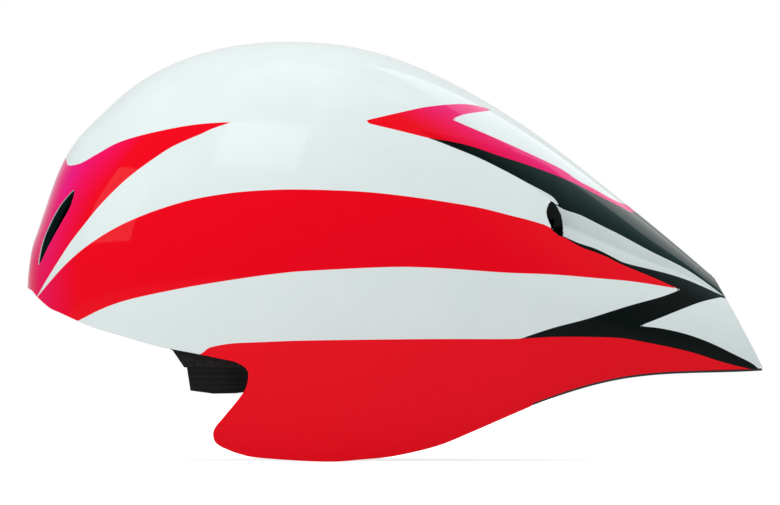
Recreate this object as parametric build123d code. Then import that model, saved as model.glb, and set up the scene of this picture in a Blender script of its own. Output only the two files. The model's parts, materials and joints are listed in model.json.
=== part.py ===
from build123d import *
import math
import os

# Time trial helmet with a long tail, for a rider who looks along -X.
# Millimetres. X runs from the nose to the tail, Y across the head and Z up. The origin is in the
# middle of the helmet's length, on the plane that the ear covers stand on.
# A name that ends in share or shares holds fractions of a named size. Left is the rider's left, -Y.

# Overall sizes of the outer shell
length = 400.0
width = 200.0
height = 227.4
waist_share = 0.375        # place of the widest section
side_reach = 260.0         # from the widest section to where the sides would meet
side_taper = 1.9           # exponent of the sides' run to the tail

# Walls and clearances
shell_wall = 2.5
shell_gap = 0.3            # between the shell and the foam behind it
seat_gap = 0.3             # between a soft piece and its seat
fit_gap = 0.05             # radial clearance of a turning fit
slide_gap = 0.3            # clearance beside a sliding piece
overrun = 20.0             # how far a cutting solid runs past what it cuts
skim = 2.0                 # how far a groove's cutter stands out of the skin
below = 12.0               # depth of the uncut envelope under the base plane
tail_lip = 1.2             # edge of the base panel that shows under the shell
tail_wall = 4.0            # cut-off end of the tail
base_wall = 2.4            # panel under the tail

# The head's space: an ellipsoid over a straight collar
head_length = 208.0
head_width = 152.0
head_rise = 105.0          # from the widest plane to the crown
head_x = -60.0
head_z = 95.0

# Air ways
duct_depth = 9.0           # channels cut in the foam, measured from the head's space
duct_width = 14.0
duct_y = 31.0
duct_floor = 118.0         # height of the channels' ends above the brow
intake_radius = 10.0
exhaust_radius = 7.0
scoop_depth = 11.5         # deepest place of the rear scoop
exhaust_depth = 26.0       # from the skin into the tail

# Foam pads
pad_thickness = 6.0
ear_pad_thickness = 3.5
ear_pad_length = 76.0
ear_pad_height = 34.0
ear_pad_x = -48.0
ear_pad_z = 28.0
brow_pad_reach = 46.0      # from the head's front end to the pad's rear ends
brow_pad_height = 26.0
brow_pad_z = 92.0
side_pad_length = 62.0
side_pad_height = 30.0
side_pad_x = -62.0
side_pad_z = 98.0
crown_pad_length = 96.0
crown_pad_width = 22.0
crown_pad_x = -62.0
crown_pad_y = 46.0
cradle_pad_height = 24.0
cradle_pad_in = 7.0        # inner end of a cradle pad from the middle plane
cradle_pad_thickness = 4.0

# Fit system: two arms, two racks and a pinion turned by a dial
arm_wall = 2.0
arm_bend = 6.0             # from the racks forward to where the arms reach their height
temple_x = -100.0
temple_z = 57.5
temple_plane = 69.5        # middle of the arms' flat front ends, from the middle plane
pin_radius = 3.0
anchor_radius = 6.0
anchor_depth = 6.0
pin_head = 1.6
pin_head_radius = 4.4
temple_room = 3.5          # room before the arms' front ends
temple_rise = 1.6          # room over them for their tilt
dial_z = 60.0
rack_x = 48.0              # middle of the racks' layer
rack_wall = 2.0
rack_back = 4.2            # height of a rack behind its pitch line
rack_out = 36.0            # outer end of a rack from the middle plane
rack_in = 10.0             # inner end of a rack past the middle plane
gear_module = 1.0
gear_teeth = 12
pressure_angle = 20.0
backlash = 0.15
rack_addendum_share = 0.65     # of the module, kept short so that the few teeth aren't undercut
pinion_root_share = 0.95
rack_root_share = 1.15
flank_steps = 4            # points on a tooth's flank above the base circle
shaft_length = 11.0
hub_wall = 2.0
shaft_radius = 3.0
journal_radius = 2.0
cradle_wall = 2.2
cradle_width = 74.0
cradle_height = 34.0
cradle_corner = 12.0
boss_radius = 3.0
housing_width = 64.0
housing_wall = 2.4
cover_wall = 2.2
knob_radius = 15.0
knob_height = 8.8
knob_wall = 2.2
knob_lobes = 18
lobe_radius = 1.4
detent_count = 24
detent_depth = 0.7
detent_radius = 12.9
spring_radius = 10.9       # middle of the click spring's arc
spring_wall = 1.0
spring_height = 2.4
spring_peg = 0.8
spring_peg_depth = 1.2
spring_turn = 55.0         # from the nub to each foot, in degrees
screw_radius = 1.2
screw_head_radius = 2.3
screw_head = 1.2
cover_screw_y = 24.0

# Straps and their fittings
web_wall = 1.6
chin_web = 16.0
side_web = 13.0
strap_plane = 81.0         # middle of the side straps, from the middle plane
divider_x = -46.0
divider_z = 24.0
divider_length = 34.0
divider_height = 24.0
divider_wall = 5.2
divider_corner = 3.0
strap_hold = 5.0           # how far a strap's end goes into its fitting
front_anchor_x = -68.0
rear_anchor_x = 5.0
front_strap_x = -55.0       # where the side straps meet the divider
rear_strap_x = -45.0
strap_anchor_width = 16.0
strap_anchor_wall = 6.0
strap_anchor_height = 6.0
lever_length = 20.0
lever_height = 12.0
lever_foot = 2.0            # pivot's height above the divider's foot
ear_wall = 2.0
lever_wall = 2.0
lever_pin_radius = 1.0
lever_knuckle = 1.6
buckle_x = 67.0
buckle_height = 20.0
buckle_wall = 8.0
buckle_length = 25.0
clasp_length = 11.0        # body of the buckle's male half
prong_length = 15.0
prong_wall = 2.6
prong_thickness = 4.0
guide_length = 11.0
window_length = 7.0
window_start = 7.5
buckle_corner = 1.5
keeper_length = 5.0
keeper_wall = 1.4
keeper_y = 33.0
strap_turn_y = 40.0        # where the chin strap comes into line with the buckle

# Stations of the envelope: place along the length, top and widest height as shares of the height,
# roundness of the upper half (2 is an ellipse) and how far the sides draw in at the base.
station_shares = (
    (0.00025, 0.432, 0.422, 2.2, 0.06),
    (0.0015, 0.456, 0.423, 2.2, 0.06),
    (0.0055, 0.502, 0.424, 2.2, 0.06),
    (0.0125, 0.541, 0.426, 2.2, 0.06),
    (0.025, 0.606, 0.429, 2.2, 0.07),
    (0.043, 0.693, 0.433, 2.2, 0.08),
    (0.0675, 0.766, 0.438, 2.2, 0.09),
    (0.100, 0.825, 0.443, 2.2, 0.10),
    (0.140, 0.888, 0.450, 2.2, 0.11),
    (0.195, 0.945, 0.457, 2.2, 0.12),
    (0.2625, 0.984, 0.464, 2.2, 0.12),
    (waist_share, 1.000, 0.470, 2.2, 0.12),
    (0.4675, 0.978, 0.464, 2.15, 0.12),
    (0.575, 0.904, 0.440, 2.05, 0.13),
    (0.6875, 0.785, 0.390, 1.9, 0.16),
    (0.800, 0.633, 0.335, 1.75, 0.25),
    (0.900, 0.488, 0.295, 1.7, 0.35),
    (0.955, 0.404, 0.275, 1.7, 0.45),
    (1.010, 0.322, 0.255, 1.7, 0.55),
)
section_turns = 8          # points on each side of a section's upper half
side_steps = 3             # points on each side below the widest place
top_slope_share = 1.2      # upright wall on the sloping back, as a share of the wall

# Side view of the shell's lower edge from the nose to the tail. In every side view x is a share of
# the length from the nose, and z is a share of the height.
brow_shares = (
    (-0.03, 0.4266), (0.0028, 0.409), (0.0143, 0.3896), (0.0308, 0.365), (0.046, 0.3527),
    (0.0868, 0.3219), (0.1273, 0.3004), (0.1815, 0.274), (0.2373, 0.2546), (0.2845, 0.2375),
)
notch_shares = (
    (0.2845, 0.2375), (0.298, 0.2238), (0.3028, 0.2045), (0.2968, 0.1649), (0.2703, 0.106),
    (0.2588, 0.0822), (0.255, 0.0655), (0.2578, 0.0457), (0.2675, 0.0334),
)
ear_edge_shares = (
    (0.2675, 0.0334), (0.2898, 0.0185), (0.3198, 0.0088), (0.405, 0.0), (0.4525, 0.0048),
    (0.5013, 0.0141), (0.5575, 0.0374), (0.604, 0.0704), (0.6508, 0.106), (0.685, 0.1319),
)
tail_edge_shares = (
    (0.685, 0.1319), (0.7448, 0.168), (0.7968, 0.1909), (0.8483, 0.2032), (0.9263, 0.2089),
    (1.0, 0.2133),
)
tail_top_share = (0.9473, 0.3896)
vent_shares = (
    (0.0658, 0.6447), (0.0603, 0.6064), (0.046, 0.5611), (0.0308, 0.5136), (0.016, 0.4648),
    (0.020, 0.5136), (0.0293, 0.5567), (0.0435, 0.6029), (0.057, 0.6328),
)
exhaust_shares = (
    (0.705, 0.5897), (0.712, 0.617), (0.7245, 0.5858), (0.7268, 0.5343), (0.714, 0.5501),
)
# Inner ends of the intake's bore and the middle of the outlet's, in side view
intake_end_share = (0.168, 0.5136)
outlet_middle_share = (0.71475, 0.58775)
# Lower edge of the foam inside, with the temple lobe that shows under the brow
foam_brow_shares = (
    (-0.03, 0.435), (0.0143, 0.398), (0.046, 0.361), (0.0868, 0.330), (0.1273, 0.3085),
    (0.1815, 0.282),
)
foam_lobe_shares = ((0.1815, 0.282), (0.2, 0.263))
foam_end_share = 0.680
foam_side_shares = (
    (0.2155, 0.223), (0.300, 0.223), (0.45, 0.2727), (0.525, 0.3254), (0.575, 0.3694),
    (0.615, 0.387), (foam_end_share, 0.387),
)
base_front_share = (0.650, 0.112)

# Rear scoop: place, height of its lower rim, height of the spine's edge and of the line where the
# lowered flank meets the skin again, then the depths at the rim and at the spine's edge as shares of
# the scoop's depth. The crease is the same groove with no floor, forward of the exhaust.
crease_shares = (
    (0.535, 0.7762, 0.7850, 0.8050, 0.03, 0.02),
    (0.600, 0.7300, 0.7400, 0.7900, 0.22, 0.20),
    (0.665, 0.6750, 0.6860, 0.7600, 0.40, 0.34),
    (0.711, 0.6330, 0.6430, 0.7300, 0.46, 0.42),
)
scoop_shares = (
    (0.711, 0.5490, 0.6310, 0.7300, 0.85, 0.42),
    (0.7275, 0.5335, 0.6090, 0.7040, 1.00, 0.39),
    (0.7475, 0.5123, 0.5972, 0.6816, 0.96, 0.35),
    (0.770, 0.4969, 0.5756, 0.6550, 0.87, 0.30),
    (0.8025, 0.4750, 0.5466, 0.6110, 0.74, 0.24),
    (0.850, 0.4530, 0.5026, 0.5450, 0.52, 0.16),
    (0.895, 0.4301, 0.4613, 0.4840, 0.30, 0.09),
    (0.9475, 0.3892, 0.3927, 0.3960, 0.07, 0.03),
)
floor_share = 0.7          # place of the floor's upper edge between the rim and the spine
floor_depth_share = 0.9    # its depth as a share of the rim's

# Plan of the fit system's arm and the chin strap, as shares of the head's half length and half width
arm_shares = (
    (-0.514, 0.9145), (-0.37, 0.9145), (-0.24, 0.9145), (0.0, 0.940), (0.33, 0.895),
    (0.56, 0.812), (0.75, 0.700), (0.895, 0.590), (0.985, 0.535),
)
strap_plan_shares = (
    (0.577, 1.059), (0.865, 1.000), (1.058, 0.901), (1.163, 0.737), (1.212, 0.605),
)
# Plan of the right half of the cradle
cradle_shares = ((0.955, 0.487), (0.985, 0.435), (1.010, 0.360))
# Side views of the arm's upper and lower edges, and of the chin strap's middle line
arm_top_shares = ((0.2145, 0.270), (0.225, 0.282), (0.275, 0.282), (0.305, 0.226), (0.550, 0.286))
arm_foot_shares = ((0.2235, 0.1675), (0.255, 0.160), (0.285, 0.161), (0.3025, 0.1649), (0.550, 0.232))
strap_rise_shares = ((0.500, 0.1145), (0.575, 0.1365), (0.625, 0.165))

nose_x = -length / 2
tail_x = length / 2
waist_x = nose_x + waist_share * length
skin_inset = shell_wall + shell_gap
pitch_radius = gear_module * gear_teeth / 2
pitch = math.pi * gear_module
rack_front = rack_x - rack_wall / 2
rack_rear = rack_x + rack_wall / 2
plate_x = rack_front - slide_gap - cradle_wall / 2
cover_x = rack_rear + slide_gap
knob_x = cover_x + cover_wall + slide_gap
housing_height = 2 * (pitch_radius + rack_back + slide_gap + housing_wall)
seated = (Align.CENTER, Align.CENTER, Align.MIN)
hung = (Align.CENTER, Align.CENTER, Align.MAX)
lever_y = strap_plane - divider_wall / 2 - slide_gap - lever_knuckle
lever_z = divider_z - divider_height / 2 + lever_foot


def mirrored(shape):
    """The same piece on the other side of the helmet."""
    return mirror(shape, about=Plane.XZ)


def spot(share):
    """A point of the side view."""
    return Vector(nose_x + share[0] * length, 0, share[1] * height)


def spline_through(shares):
    return Spline(*[spot(share) for share in shares])


def row_at(table, place):
    """Values of a table at a place, straight between the rows on each side of it."""
    index = 1
    while index < len(table) - 1 and place > table[index][0]:
        index += 1
    lower, upper = table[index - 1], table[index]
    part = (place - lower[0]) / (upper[0] - lower[0])
    return [a + (b - a) * part for a, b in zip(lower, upper)]


def half_width(x):
    """Half the envelope's width: half an ellipse towards the nose, a long taper to the tail."""
    if x < waist_x:
        reach = min(1.0, (waist_x - x) / (waist_x - nose_x))
        return width / 2 * math.sqrt(1 - reach**2)
    return width / 2 * (1 - ((x - waist_x) / side_reach) ** side_taper)


def section_sizes(x):
    """Half width, top, widest height, roundness and draw of the envelope's section at x."""
    _, top_share, widest_share, roundness, draw = row_at(station_shares, (x - nose_x) / length)
    return half_width(x), top_share * height, widest_share * height, roundness, draw


def skin_y(x, z):
    """Distance of the outer skin from the middle plane."""
    half, top, widest, roundness, draw = section_sizes(x)
    if z > widest:
        rise = min(1.0, (z - widest) / (top - widest))
        return half * (1 - rise**roundness) ** (1 / roundness)
    return half * (1 - draw * ((widest - z) / widest) ** 2)


def skin_point(x, z, out):
    """A point that stands out of the skin, square to it in the section at x."""
    y = skin_y(x, z)
    slope = (skin_y(x, z + shell_gap) - y) / shell_gap
    reach = math.hypot(1, slope)
    return Vector(x, y + out / reach, z - out * slope / reach)


def envelope_section(place, inset):
    """One section of the envelope as a face, moved inwards by the inset."""
    x = nose_x + place * length
    half, top, widest, roundness, draw = section_sizes(x)
    if x < waist_x:
        crown = height * (1 - row_at(station_shares, waist_share)[2])
        half = half * (1 - inset / (width / 2))
        top = widest + (top - widest) * (1 - inset / crown)
        x = waist_x + (x - waist_x) * (1 - inset / (waist_x - nose_x))
    else:
        half = half - inset
        top = top - inset * top_slope_share
    side = []
    for step in range(side_steps, 0, -1):
        z = widest - (widest + below) * step / side_steps
        side.append((half * (1 - draw * ((widest - z) / widest) ** 2), z))
    for turn in range(section_turns + 1):
        angle = math.pi / 2 * turn / section_turns
        y = half * math.cos(angle) ** (2 / roundness)
        side.append((y, widest + (top - widest) * math.sin(angle) ** (2 / roundness)))
    other = [(-y, z) for y, z in reversed(side[:-1])]
    points = [Vector(x, y, z) for y, z in side + other]
    return make_face([Spline(*points), Line(points[-1], points[0])])


def envelope(inset):
    """The helmet's outer form as one solid, moved inwards by the inset."""
    return loft([envelope_section(row[0], inset) for row in station_shares])


def side_prism(edges, low_y, high_y):
    """A side view's outline carried across the helmet between two planes."""
    face = make_face(edges).moved(Location((0, low_y, 0)))
    return extrude(face, amount=high_y - low_y, dir=(0, 1, 0))


def tail_line(z, shift):
    """Place of the cut-off tail end's face at a height, moved along X."""
    top, foot = spot(tail_top_share), spot(tail_edge_shares[-1])
    return Vector(foot.X + (top.X - foot.X) * (z - foot.Z) / (top.Z - foot.Z) + shift, 0, z)


def shell_block():
    """Everything inside the shell's side view."""
    tail = [spot(share) + Vector(0, 0, tail_lip) for share in tail_edge_shares]
    ear_end, end_top = spot(ear_edge_shares[-1]), tail_line(height * tail_top_share[1], 0)
    roof = height + overrun
    corners = [end_top, Vector(end_top.X - overrun, 0, roof), Vector(nose_x - overrun, 0, roof)]
    edges = [spline_through(brow_shares), spline_through(notch_shares), spline_through(ear_edge_shares)]
    edges += [Line(ear_end, tail[0]), Spline(*tail), Line(tail[-1], end_top)]
    edges.append(Polyline(*corners, spot(brow_shares[0])))
    return side_prism(edges, -width, width)


def before_tail_end(shift):
    """Everything forward of a plane beside the cut-off tail end."""
    roof = height + overrun
    low, high = tail_line(-below - overrun, shift), tail_line(roof, shift)
    front = nose_x - overrun
    corners = [low, high, Vector(front, 0, roof), Vector(front, 0, low.Z)]
    return side_prism([Polyline(*corners, close=True)], -width, width)


def scoop_section(row, grow):
    """One section of the scoop's cutter, grown on the side of the material."""
    place, rim_share, edge_share, blend_share, rim_depth_share, edge_depth_share = row
    x = nose_x + place * length
    rim, edge, blend = rim_share * height - grow, edge_share * height, blend_share * height
    rim_depth = rim_depth_share * scoop_depth + grow
    edge_depth = edge_depth_share * scoop_depth + grow
    floor = rim + (edge - rim) * floor_share
    floor_depth = edge_depth + (rim_depth - edge_depth) * floor_depth_share
    third = (blend - rim) / 3
    return make_face(Polyline(
        skin_point(x, rim, skim),
        skin_point(x, rim, -rim_depth),
        skin_point(x, floor, -floor_depth),
        skin_point(x, edge, -edge_depth),
        skin_point(x, blend, skim),
        skin_point(x, blend - third, skim * 2),
        skin_point(x, rim + third, skim * 2),
        close=True,
    ))


def scoops(grow):
    """Cutters of the crease and the scoop on both sides."""
    cutters = []
    for table in (crease_shares, scoop_shares):
        cutter = loft([scoop_section(row, grow) for row in table])
        cutters += [cutter, mirrored(cutter)]
    return cutters


def vent_cutter():
    """The intake slot beside the nose, from the side."""
    inner = duct_y - duct_width
    return side_prism([Spline(*[spot(share) for share in vent_shares], periodic=True)], inner, width / 2)


def exhaust_floor():
    """Point on the inner end of the oval outlet, in the middle of the oval."""
    centre = spot(outlet_middle_share)
    return Vector(centre.X, skin_y(centre.X, centre.Z) - exhaust_depth, centre.Z)


def exhaust_cutter():
    """The oval outlet at the scoop's front end."""
    inner = exhaust_floor().Y
    outline = Spline(*[spot(share) for share in exhaust_shares], periodic=True)
    return side_prism([outline], inner, width / 2)


def air_ways():
    """Intakes, channels over the head and outlets on both sides, as cutters for the foam."""
    intake_end, outlet = spot(intake_end_share), exhaust_floor()
    intake = Pos(intake_end.X, duct_y, intake_end.Z) * Rot(0, -90, 0) * Cylinder(
        intake_radius, intake_end.X - nose_x, align=seated)
    outlet_bore = Pos(head_x, outlet.Y + exhaust_radius / 2, outlet.Z) * Rot(0, 90, 0) * Cylinder(
        exhaust_radius, outlet.X - head_x, align=seated)
    channel = Pos(head_x, duct_y, duct_floor + height / 2) * Box(length, duct_width, height)
    channel = channel & head_space(-duct_depth)
    side = [intake, outlet_bore, channel, vent_cutter(), exhaust_cutter()]
    return side + [mirrored(cutter) for cutter in side]


def head_space(inset):
    """The head's space moved inwards: half an ellipsoid over a straight collar of the same plan."""
    collar = (head_z + below + overrun) / head_rise
    arc = CenterArc((0, 0), 1, 0, 90)
    edges = [arc, Polyline(arc @ 1, (0, -collar), (1, -collar), arc @ 0)]
    form = revolve(Plane.XZ * make_face(edges), Axis.Z)
    form = scale(form, by=(head_length / 2 - inset, head_width / 2 - inset, head_rise - inset))
    return Pos(head_x, 0, head_z) * form


def head_side(share_x, share_y):
    """A point in plan, as shares of the head's half length and half width."""
    return Vector(head_x + share_x * head_length / 2, share_y * head_width / 2, 0)


def eased_line(points):
    """A curve through the points whose first and last runs are straight."""
    first, last = points[1] - points[0], points[-1] - points[-2]
    curve = Spline(*points[1:-1], tangents=(first, last))
    return [Line(*points[:2]), curve, Line(*points[-2:])]


def between_lines(one, other):
    """The face between two lines of points that run the same way."""
    return make_face([*eased_line(one), *eased_line(other), Line(one[0], other[0]), Line(one[-1], other[-1])])


def band(points, wall, low_z, high_z, shift=0):
    """An upright band along a line in plan, or beside it on its left."""
    inner, outer = [], []
    last = len(points) - 1
    for index, point in enumerate(points):
        before, after = max(index - 1, 0), min(index + 1, last)
        if index < 2:
            after = 1
        if index > last - 2:
            before = last - 1
        run = points[after] - points[before]
        across = Vector(-run.Y, run.X, 0).normalized()
        inner.append(Vector(point.X, point.Y, low_z) + across * (shift - wall / 2))
        outer.append(Vector(point.X, point.Y, low_z) + across * (shift + wall / 2))
    return extrude(between_lines(inner, outer), amount=high_z - low_z, dir=(0, 0, 1))


def base_height(x):
    """Height of the base panel's upper face near its front edge."""
    front, rear = spot(base_front_share), spot(tail_edge_shares[0])
    part = (x - front.X) / (rear.X - front.X)
    return front.Z + (rear.Z + tail_lip - front.Z) * part + base_wall


# Shell and foam

buckle_z = base_height(buckle_x + buckle_wall / 2) + seat_gap + buckle_height / 2

outer_form = envelope(0)
foam_form = envelope(skin_inset)
carved_foam = foam_form - scoops(skin_inset)
foam_outline = before_tail_end(-tail_wall - shell_gap)


def outer_shell():
    """Hard outer shell, with the intake slots and the exhausts."""
    shell = (outer_form - scoops(0)) & shell_block()
    hollow = (envelope(shell_wall) - scoops(shell_wall)) & before_tail_end(-tail_wall)
    shell = shell - hollow
    return shell - [vent_cutter(), mirrored(vent_cutter()), exhaust_cutter(), mirrored(exhaust_cutter())]


def head_foam():
    """Foam round the head, down to the temples, with the air ways and the fittings' pockets."""
    roof = height + overrun
    end = spot((foam_end_share, 0)).X
    lobe = Polyline(*[spot(share) for share in foam_lobe_shares + foam_side_shares])
    front = nose_x - overrun
    roof_line = Polyline(lobe @ 1, Vector(end, 0, roof), Vector(front, 0, roof), spot(foam_brow_shares[0]))
    edges = [spline_through(foam_brow_shares), lobe, roof_line]
    foam = carved_foam & side_prism(edges, -width, width)
    return foam - head_space(0) - air_ways() - fitting_pockets()


def tail_edge(rise):
    """The tail's lower edge in side view, lifted."""
    return [spot(share) + Vector(0, 0, rise) for share in tail_edge_shares]


def tail_foam():
    """Foam block that fills the tail behind the head."""
    front = spot((foam_end_share, 0)).X + seat_gap
    panel = tail_edge(tail_lip + base_wall + seat_gap)
    corners = [Vector(tail_x, 0, height), Vector(front, 0, height), Vector(front, 0, panel[0].Z)]
    outline = side_prism([Spline(*panel), Polyline(panel[-1], *corners, panel[0])], -width, width)
    return (carved_foam & outline & foam_outline) - air_ways()


def tail_base():
    """Panel that closes the tail from below, with the thin lip that shows under the shell."""
    front = spot(base_front_share)
    lip_low, lip_high = tail_edge(0), tail_edge(tail_lip - fit_gap)
    lip = side_prism([Spline(*lip_low), Line(lip_low[-1], lip_high[-1]), Spline(*lip_high),
                      Line(lip_high[0], lip_low[0])], -width, width)
    low = [front, *lip_high]
    high = [front + Vector(0, 0, base_wall), *tail_edge(tail_lip + base_wall)]
    panel = side_prism([Polyline(*low[:2]), Spline(*low[1:]), Line(low[-1], high[-1]),
                        Spline(*high[1:]), Polyline(*high[1::-1], front)], -width, width)
    return (outer_form & lip & before_tail_end(0)) + (foam_form & panel & foam_outline)


# Pads

def head_pad(outline):
    """A foam pad that follows the head's space, cut out by an outline's solid."""
    return (head_space(seat_gap) & outline) - head_space(seat_gap + pad_thickness)


def rounded_block(size_x, size_y, size_z, radius, axis):
    """A block whose edges along one axis are rounded."""
    block = Box(size_x, size_y, size_z)
    return fillet(block.edges().filter_by(axis), radius)


def head_pads():
    """Brow pad, two side pads and three crown pads."""
    brow = Pos(head_x - head_length / 2, 0, brow_pad_z) * rounded_block(
        brow_pad_reach * 2, head_width, brow_pad_height, pad_thickness, Axis.Y)
    side = Pos(side_pad_x, head_width / 2, side_pad_z) * rounded_block(
        side_pad_length, head_width / 2, side_pad_height, pad_thickness * 2, Axis.Y)
    crown_z = head_z + head_rise
    middle = Pos(crown_pad_x, 0, crown_z) * rounded_block(
        crown_pad_length, crown_pad_width, head_rise, pad_thickness, Axis.Z)
    beside = Pos(crown_pad_x, crown_pad_y, crown_z) * rounded_block(
        crown_pad_length, crown_pad_width, head_rise, pad_thickness, Axis.Z)
    right_side, right_crown = head_pad(side), head_pad(beside)
    return {
        "brow_pad": head_pad(brow),
        "side_pad_right": right_side,
        "side_pad_left": mirrored(right_side),
        "crown_pad": head_pad(middle),
        "crown_pad_right": right_crown,
        "crown_pad_left": mirrored(right_crown),
    }


def ear_pads():
    """Thin pads on the inside of the ear covers."""
    outline = Plane.XZ * Ellipse(ear_pad_length / 2, ear_pad_height / 2)
    prism = extrude(outline, amount=width, dir=(0, 1, 0))
    prism = Pos(ear_pad_x, 0, ear_pad_z) * prism
    outer = shell_wall + seat_gap
    pad = (envelope(outer) & prism) - envelope(outer + ear_pad_thickness)
    return {"ear_pad_right": pad, "ear_pad_left": mirrored(pad)}


# Fit system

def arm_line():
    """Plan of the right arm, from its flat front end to its end on the rack."""
    points = [head_side(*share) for share in arm_shares]
    points += [Vector(rack_x, rack_out + arm_wall, 0), Vector(rack_x, rack_out + fit_gap, 0)]
    return points


def arm(rear_low, rear_high):
    """A flexible arm: a band along the head whose rear end rises or falls to its rack."""
    lift = [spot(share) for share in arm_top_shares]
    drop = [spot(share) for share in arm_foot_shares]
    rear, back = rack_x - arm_bend, rack_x + overrun
    top = [*lift, Vector(rear, 0, rear_high), Vector(back, 0, rear_high)]
    foot = [*drop, Vector(rear, 0, rear_low), Vector(back, 0, rear_low)]
    outline = side_prism([Polyline(*top, *reversed(foot), close=True)], 0, width)
    wall = band(arm_line(), arm_wall, 0, head_z)
    hole = Pos(temple_x, temple_plane, temple_z) * Rot(90, 0, 0) * Cylinder(pin_radius + fit_gap, overrun)
    return (wall & outline) - hole


def rack():
    """The upper rack, teeth down, whose arm comes from the left."""
    tooth = pitch / 4 - backlash / 2
    slope = math.tan(math.radians(pressure_angle))
    tip, root = gear_module * rack_addendum_share, gear_module * rack_root_share
    low, high = dial_z + pitch_radius, dial_z + pitch_radius + rack_back
    profile = []
    first = -int(rack_out / pitch) + 1
    for index in range(first, int(rack_in / pitch)):
        centre = (index + 1 / 2) * pitch
        wide, narrow = tooth + root * slope, tooth - tip * slope
        profile += [(centre - wide, low + root), (centre - narrow, low - tip)]
        profile += [(centre + narrow, low - tip), (centre + wide, low + root)]
    corners = [(rack_in, low + root), (rack_in, high), (-rack_out, high), (-rack_out, low)]
    corners += [(-rack_out + pitch / 2, low), (-rack_out + pitch / 2, low + root)]
    points = [Vector(rack_front, y, z) for y, z in profile + corners]
    return extrude(make_face(Polyline(*points, close=True)), amount=rack_wall, dir=(1, 0, 0))


def pinion():
    """Pinion with involute teeth, its journal in the cradle and the shaft that carries the knob."""
    base = pitch_radius * math.cos(math.radians(pressure_angle))
    tip = pitch_radius + gear_module
    root = pitch_radius - gear_module * pinion_root_share

    def involute(radius):
        angle = math.acos(min(1.0, base / radius))
        return math.tan(angle) - angle

    half_tooth = math.pi / (2 * gear_teeth) - backlash / (2 * pitch_radius) + involute(pitch_radius)
    radii = [root] + [base + (tip - base) * step / flank_steps for step in range(flank_steps + 1)]
    flank = [(radius, half_tooth - involute(radius)) for radius in radii]
    points = []
    for tooth in range(gear_teeth):
        middle = 2 * math.pi * tooth / gear_teeth + math.pi / 2
        turns = [(radius, middle - turn) for radius, turn in flank]
        turns += [(radius, middle + turn) for radius, turn in reversed(flank)]
        points += [(radius * math.cos(turn), radius * math.sin(turn)) for radius, turn in turns]
    gear = extrude(make_face(Polyline(*points, close=True)), amount=rack_wall)
    journal = Pos(0, 0, -cradle_wall) * Cylinder(journal_radius, cradle_wall, align=seated)
    shaft = Pos(0, 0, rack_wall) * Cylinder(shaft_radius, shaft_length - rack_wall, align=seated)
    bore = Pos(0, 0, rack_wall) * Cylinder(screw_radius, shaft_length, align=seated)
    return dial_place(rack_front) * (gear + journal + shaft - bore)


def dial_place(x):
    """A frame on the dial's axis, with its Z to the rear and its Y up."""
    return Plane(origin=(x, 0, dial_z), x_dir=(0, 1, 0), z_dir=(1, 0, 0)).location


def cradle_line():
    """Plan of the cradle's right half, from its end to the middle."""
    line = [head_side(*share) for share in cradle_shares]
    return line + [Vector(plate_x, housing_width / 4, 0), Vector(plate_x, 0, 0)]


def cradle():
    """Plate behind the head with two rails that guide the racks and two bosses for the cover."""
    low = dial_z - cradle_height / 2
    half = band(cradle_line(), cradle_wall, low, low + cradle_height)
    plate = half + mirrored(half)
    outline = RectangleRounded(cradle_width, cradle_height, cradle_corner)
    plate = plate & dial_place(head_x) * extrude(outline, amount=length)
    depth = cover_x - plate_x
    rail_y = (housing_height - housing_wall) / 2
    for turn in (-1, 1):
        rail = Box(housing_width, housing_wall, depth, align=seated)
        boss = Cylinder(boss_radius, depth, align=seated)
        plate += dial_place(plate_x) * Pos(0, turn * rail_y, 0) * rail
        plate += dial_place(plate_x) * Pos(turn * cover_screw_y, 0, 0) * boss
    holes = [Cylinder(journal_radius + fit_gap, overrun)]
    for turn in (-1, 1):
        holes.append(Pos(turn * cover_screw_y, 0, 0) * Cylinder(screw_radius + fit_gap, overrun))
    return plate - [dial_place(plate_x) * hole for hole in holes]


def housing_cover():
    """Cover over the racks, with the dial's bearing, the screw holes and the spring's peg holes."""
    plate = extrude(RectangleRounded(housing_width, housing_height, cradle_corner / 2), amount=cover_wall)
    plate -= Cylinder(shaft_radius + fit_gap, overrun)
    for turn in (-1, 1):
        plate -= Pos(turn * cover_screw_y, 0, 0) * Cylinder(screw_radius + fit_gap, overrun)
        plate -= spring_foot(turn) * Cylinder(spring_peg + fit_gap, overrun)
    return dial_place(cover_x) * plate


def spring_foot(turn):
    """Place of one foot of the click spring round the dial's axis."""
    angle = math.radians(90 + turn * spring_turn)
    return Pos(spring_radius * math.cos(angle), spring_radius * math.sin(angle), 0)


def click_spring():
    """Spring arc with a nub that clicks in the knob's notches, held on the cover by two pegs."""
    edge_out, edge_in = spring_radius + spring_wall / 2, spring_radius - spring_wall / 2
    side = math.radians(90 - spring_turn)
    reach = detent_radius / math.cos(math.radians(spring_turn / 2))
    wedge = make_face(Polyline((0, 0), (reach * math.cos(side), reach * math.sin(side)), (0, reach * 2),
                               (-reach * math.cos(side), reach * math.sin(side)), close=True))
    arc = (Circle(edge_out) - Circle(edge_in)) & wedge
    tip = detent_radius - slide_gap
    nub = make_face(Polyline((-spring_wall, spring_radius), (0, tip), (spring_wall, spring_radius),
                             close=True))
    spring = extrude(arc + nub, amount=spring_height)
    for turn in (-1, 1):
        spring += spring_foot(turn) * Cylinder(spring_wall, spring_height, align=seated)
        spring += spring_foot(turn) * Cylinder(spring_peg, spring_peg_depth, align=hung)
    return dial_place(cover_x + cover_wall) * spring


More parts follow.
